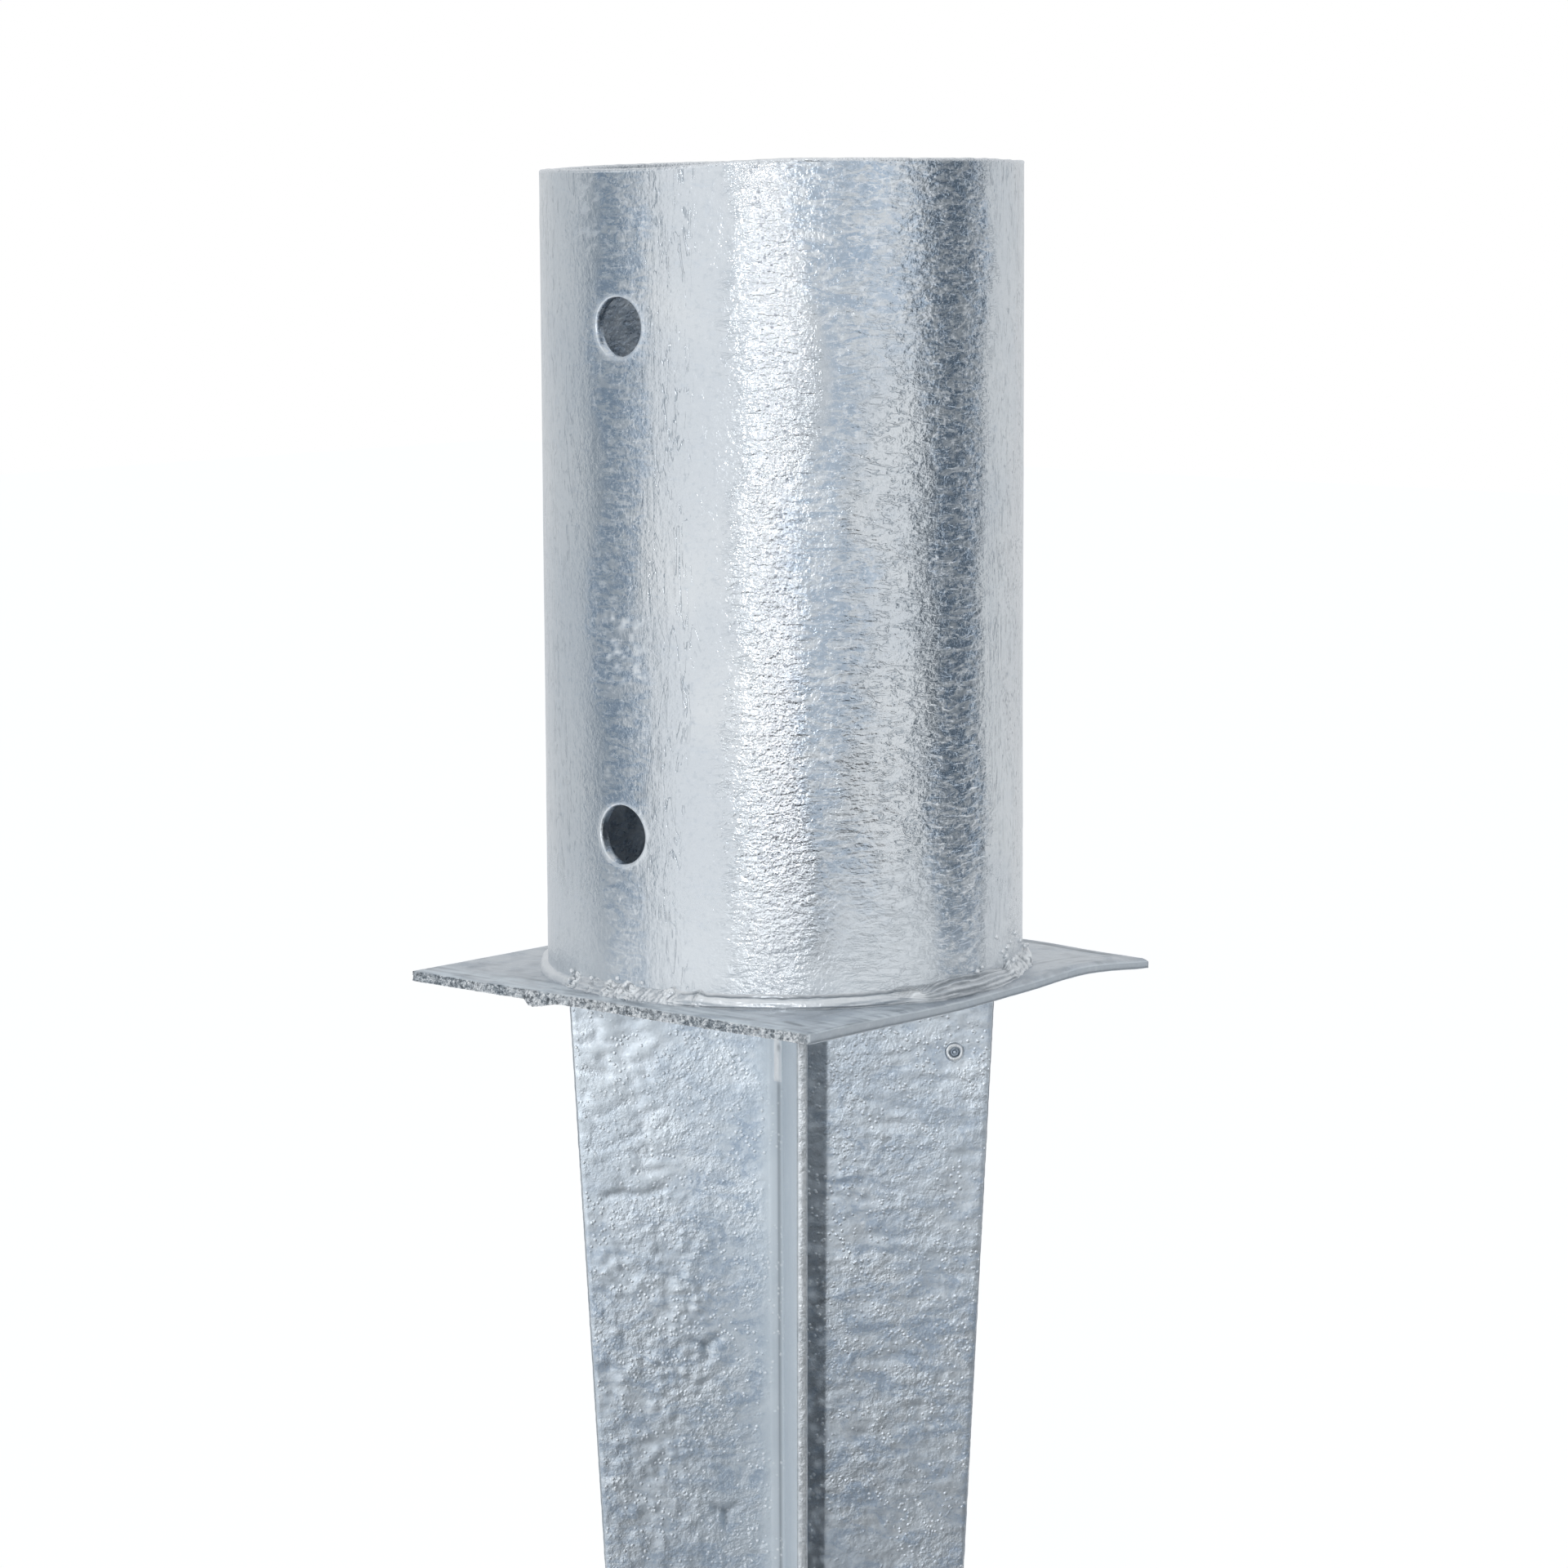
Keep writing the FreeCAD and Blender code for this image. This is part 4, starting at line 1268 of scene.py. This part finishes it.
# Screens of the light tent round the object: from and to in degrees right of the camera, level, and soft edge
TENT_LEVEL = 0.77
TENT_SCREENS = (
    (-142.0, -106.0, 0.66, 14.0),
    (-103.0, -76.0, 0.31, 9.0),
    (-62.0, -22.0, 0.97, 12.0),
    (-17.0, 36.0, 0.68, 12.0),
    (38.0, 66.0, 0.95, 10.0),
    (70.0, 103.0, 0.11, 9.0),
)
TENT_RADIUS = 1.25
# A dark flag stands close in front of the spike: from and to in degrees right of the camera, level
FLAG = (-14.0, 52.0, 0.0)
FLAG_RADIUS = 0.30
FLAG_FOOT = -0.50
FLAG_TOPS = (-0.052, -0.086)


def add_screen(name, azimuth, levels, rows, closed):
    """Glowing cloth that the metal mirrors. The camera doesn't see it, and it casts no shadow."""
    turn = np.radians(azimuth)
    points = [np.column_stack([np.sin(turn) * radius, -np.cos(turn) * radius, turn * 0.0 + z])
              for radius, z in rows]
    material, n = new_material(name + "_cloth")
    level = n.attribute("level")
    colour = n.tint(n.step(level, 0.10, 0.85), (0.74, 0.93, 1.12), (0.97, 0.985, 1.0))
    n.end("ShaderNodeOutputMaterial", n.add("ShaderNodeEmission", 0, {"Color": colour, "Strength": level}))
    faces = grid_faces(len(rows), len(azimuth), closed)
    screen = add_mesh(name, np.concatenate(points), faces, [material], {"level": np.tile(levels, len(rows))})
    screen.visible_camera = False
    screen.visible_shadow = False
    screen.visible_diffuse = False


def add_tent():
    low = -(SPIKE_LENGTH + 0.1) * MM
    azimuth = np.arange(360.0)
    right = wrapped(azimuth - CAMERA_AZIMUTH)
    levels = np.full(360, TENT_LEVEL)
    for start, stop, grey, edge in TENT_SCREENS:
        reach = (stop - start) / 2.0
        away = np.abs(right - (start + stop) / 2.0)
        share = fall(reach - edge / 2.0, reach + edge / 2.0, away)
        levels = levels * (1.0 - share) + grey * share
    add_screen("light_tent", azimuth, levels, ((TENT_RADIUS, low), (TENT_RADIUS, 2.2)), True)
    start, stop, grey = FLAG
    right = np.linspace(start, stop, 25)
    tops = FLAG_TOPS[0] + (FLAG_TOPS[1] - FLAG_TOPS[0]) * smooth(12.0, 40.0, right)
    rows = ((FLAG_RADIUS, FLAG_FOOT), (FLAG_RADIUS, tops))
    add_screen("dark_flag", CAMERA_AZIMUTH + right, np.full(25, grey), rows, False)


def aim(lamp, azimuth, elevation, distance, target):
    """Puts a lamp at that azimuth, measured as the camera's is, and turns it to the target."""
    a = math.radians(azimuth)
    e = math.radians(elevation)
    back = Vector((math.sin(a) * math.cos(e), -math.cos(a) * math.cos(e), math.sin(e)))
    lamp.location = Vector(target) + back * distance
    lamp.rotation_mode = "QUATERNION"
    lamp.rotation_quaternion = (-back).to_track_quat("-Z", "Y")


def add_lamps():
    data = bpy.data.lights.new("key_lamp", "AREA")
    data.size = 0.06
    data.energy = 5.7
    aim(link("key_lamp", data), 35.4, 3.0, 2.2, (0.0, 0.0, 0.05))
    # a second one lights only the spike
    data = bpy.data.lights.new("spike_lamp", "SPOT")
    data.energy = 13.3
    data.shadow_soft_size = 0.012
    data.spot_size = math.radians(17.0)
    data.spot_blend = 0.03
    aim(link("spike_lamp", data), 35.4, -4.0, 2.2, (0.0, 0.0, -0.33))


# The model

add_camera()
add_world()
add_floor()
add_tent()
add_lamps()

sleeve_zinc = tube_zinc("sleeve_zinc", (0.745, 0.775, 0.80), (0.68, 0.72, 0.76), (0.44, 0.545, 0.675))
plate_zinc = zinc("plate_zinc", (0.585, 0.625, 0.665), (0.505, 0.545, 0.59), (0.38, 0.44, 0.51),
                  skin=(0.055, 420.0), leather=(0.03, 1500.0), shine=0.32)
sheared_zinc = zinc("sheared_zinc", (0.65, 0.67, 0.69), (0.36, 0.39, 0.42), (0.22, 0.26, 0.30),
                    skin=(0.60, 900.0), leather=(0.18, 1900.0), shine=0.32, mottle=0.9, grit=0.8)
weld_zinc = zinc("weld_zinc", (0.76, 0.78, 0.80), (0.68, 0.71, 0.74), (0.46, 0.51, 0.56),
                 skin=(0.055, 700.0), leather=(0.03, 1600.0), shine=0.29, mottle=0.3,
                 bloom_and_sheen=(0.90, 0.93, 0.95))
# the ring-shaped dimple is near the top of the right fin
spike_zinc = zinc("spike_zinc", (0.67, 0.73, 0.785), (0.60, 0.668, 0.735), (0.41, 0.495, 0.60),
                  skin=(0.065, 560.0), leather=(0.075, 1250.0), shine=0.40, mottle=0.1, smear=2.0,
                  patch_scale=60.0, specks=0.07, ring=(23.70, 21.84, -15.3))
cut_zinc = zinc("cut_zinc", (0.70, 0.73, 0.76), (0.60, 0.64, 0.68), (0.44, 0.49, 0.54),
                skin=(0.12, 1100.0), grit=0.25)

spike_skins = [spike_zinc, cut_zinc, weld_zinc]
make_sleeve(sleeve_zinc)
make_plate(plate_zinc, sheared_zinc)
make_sleeve_weld(weld_zinc)
make_spike_angle("zinc_front_spike_angle", "front_spike_angle", -135.0,
                 {"outx": 900, "outy": 1000, "inx": LEFT_INSIDE, "iny": RIGHT_INSIDE}, 0.6, spike_skins, True)
make_spike_angle("zinc_rear_spike_angle", "rear_spike_angle", 45.0,
                 {"outx": REAR_OUTSIDE, "outy": 1100, "inx": 1200, "iny": 1300}, -0.6, spike_skins, False)
make_seam_welds("zinc_seam_welds_right", "seam_welds_right", 1.0, weld_zinc)
make_seam_welds("zinc_seam_welds_left", "seam_welds_left", -1.0, weld_zinc)
for fin, (direction, outer_side) in {
    "front_right": (-45.0, 1),
    "back_right": (45.0, -1),
    "back_left": (135.0, 1),
    "front_left": (-135.0, -1),
}.items():
    make_fin_welds("zinc_fin_welds_" + fin, "fin_welds_" + fin, direction, outer_side, weld_zinc)

bpy.context.scene.view_settings.view_transform = "Standard"
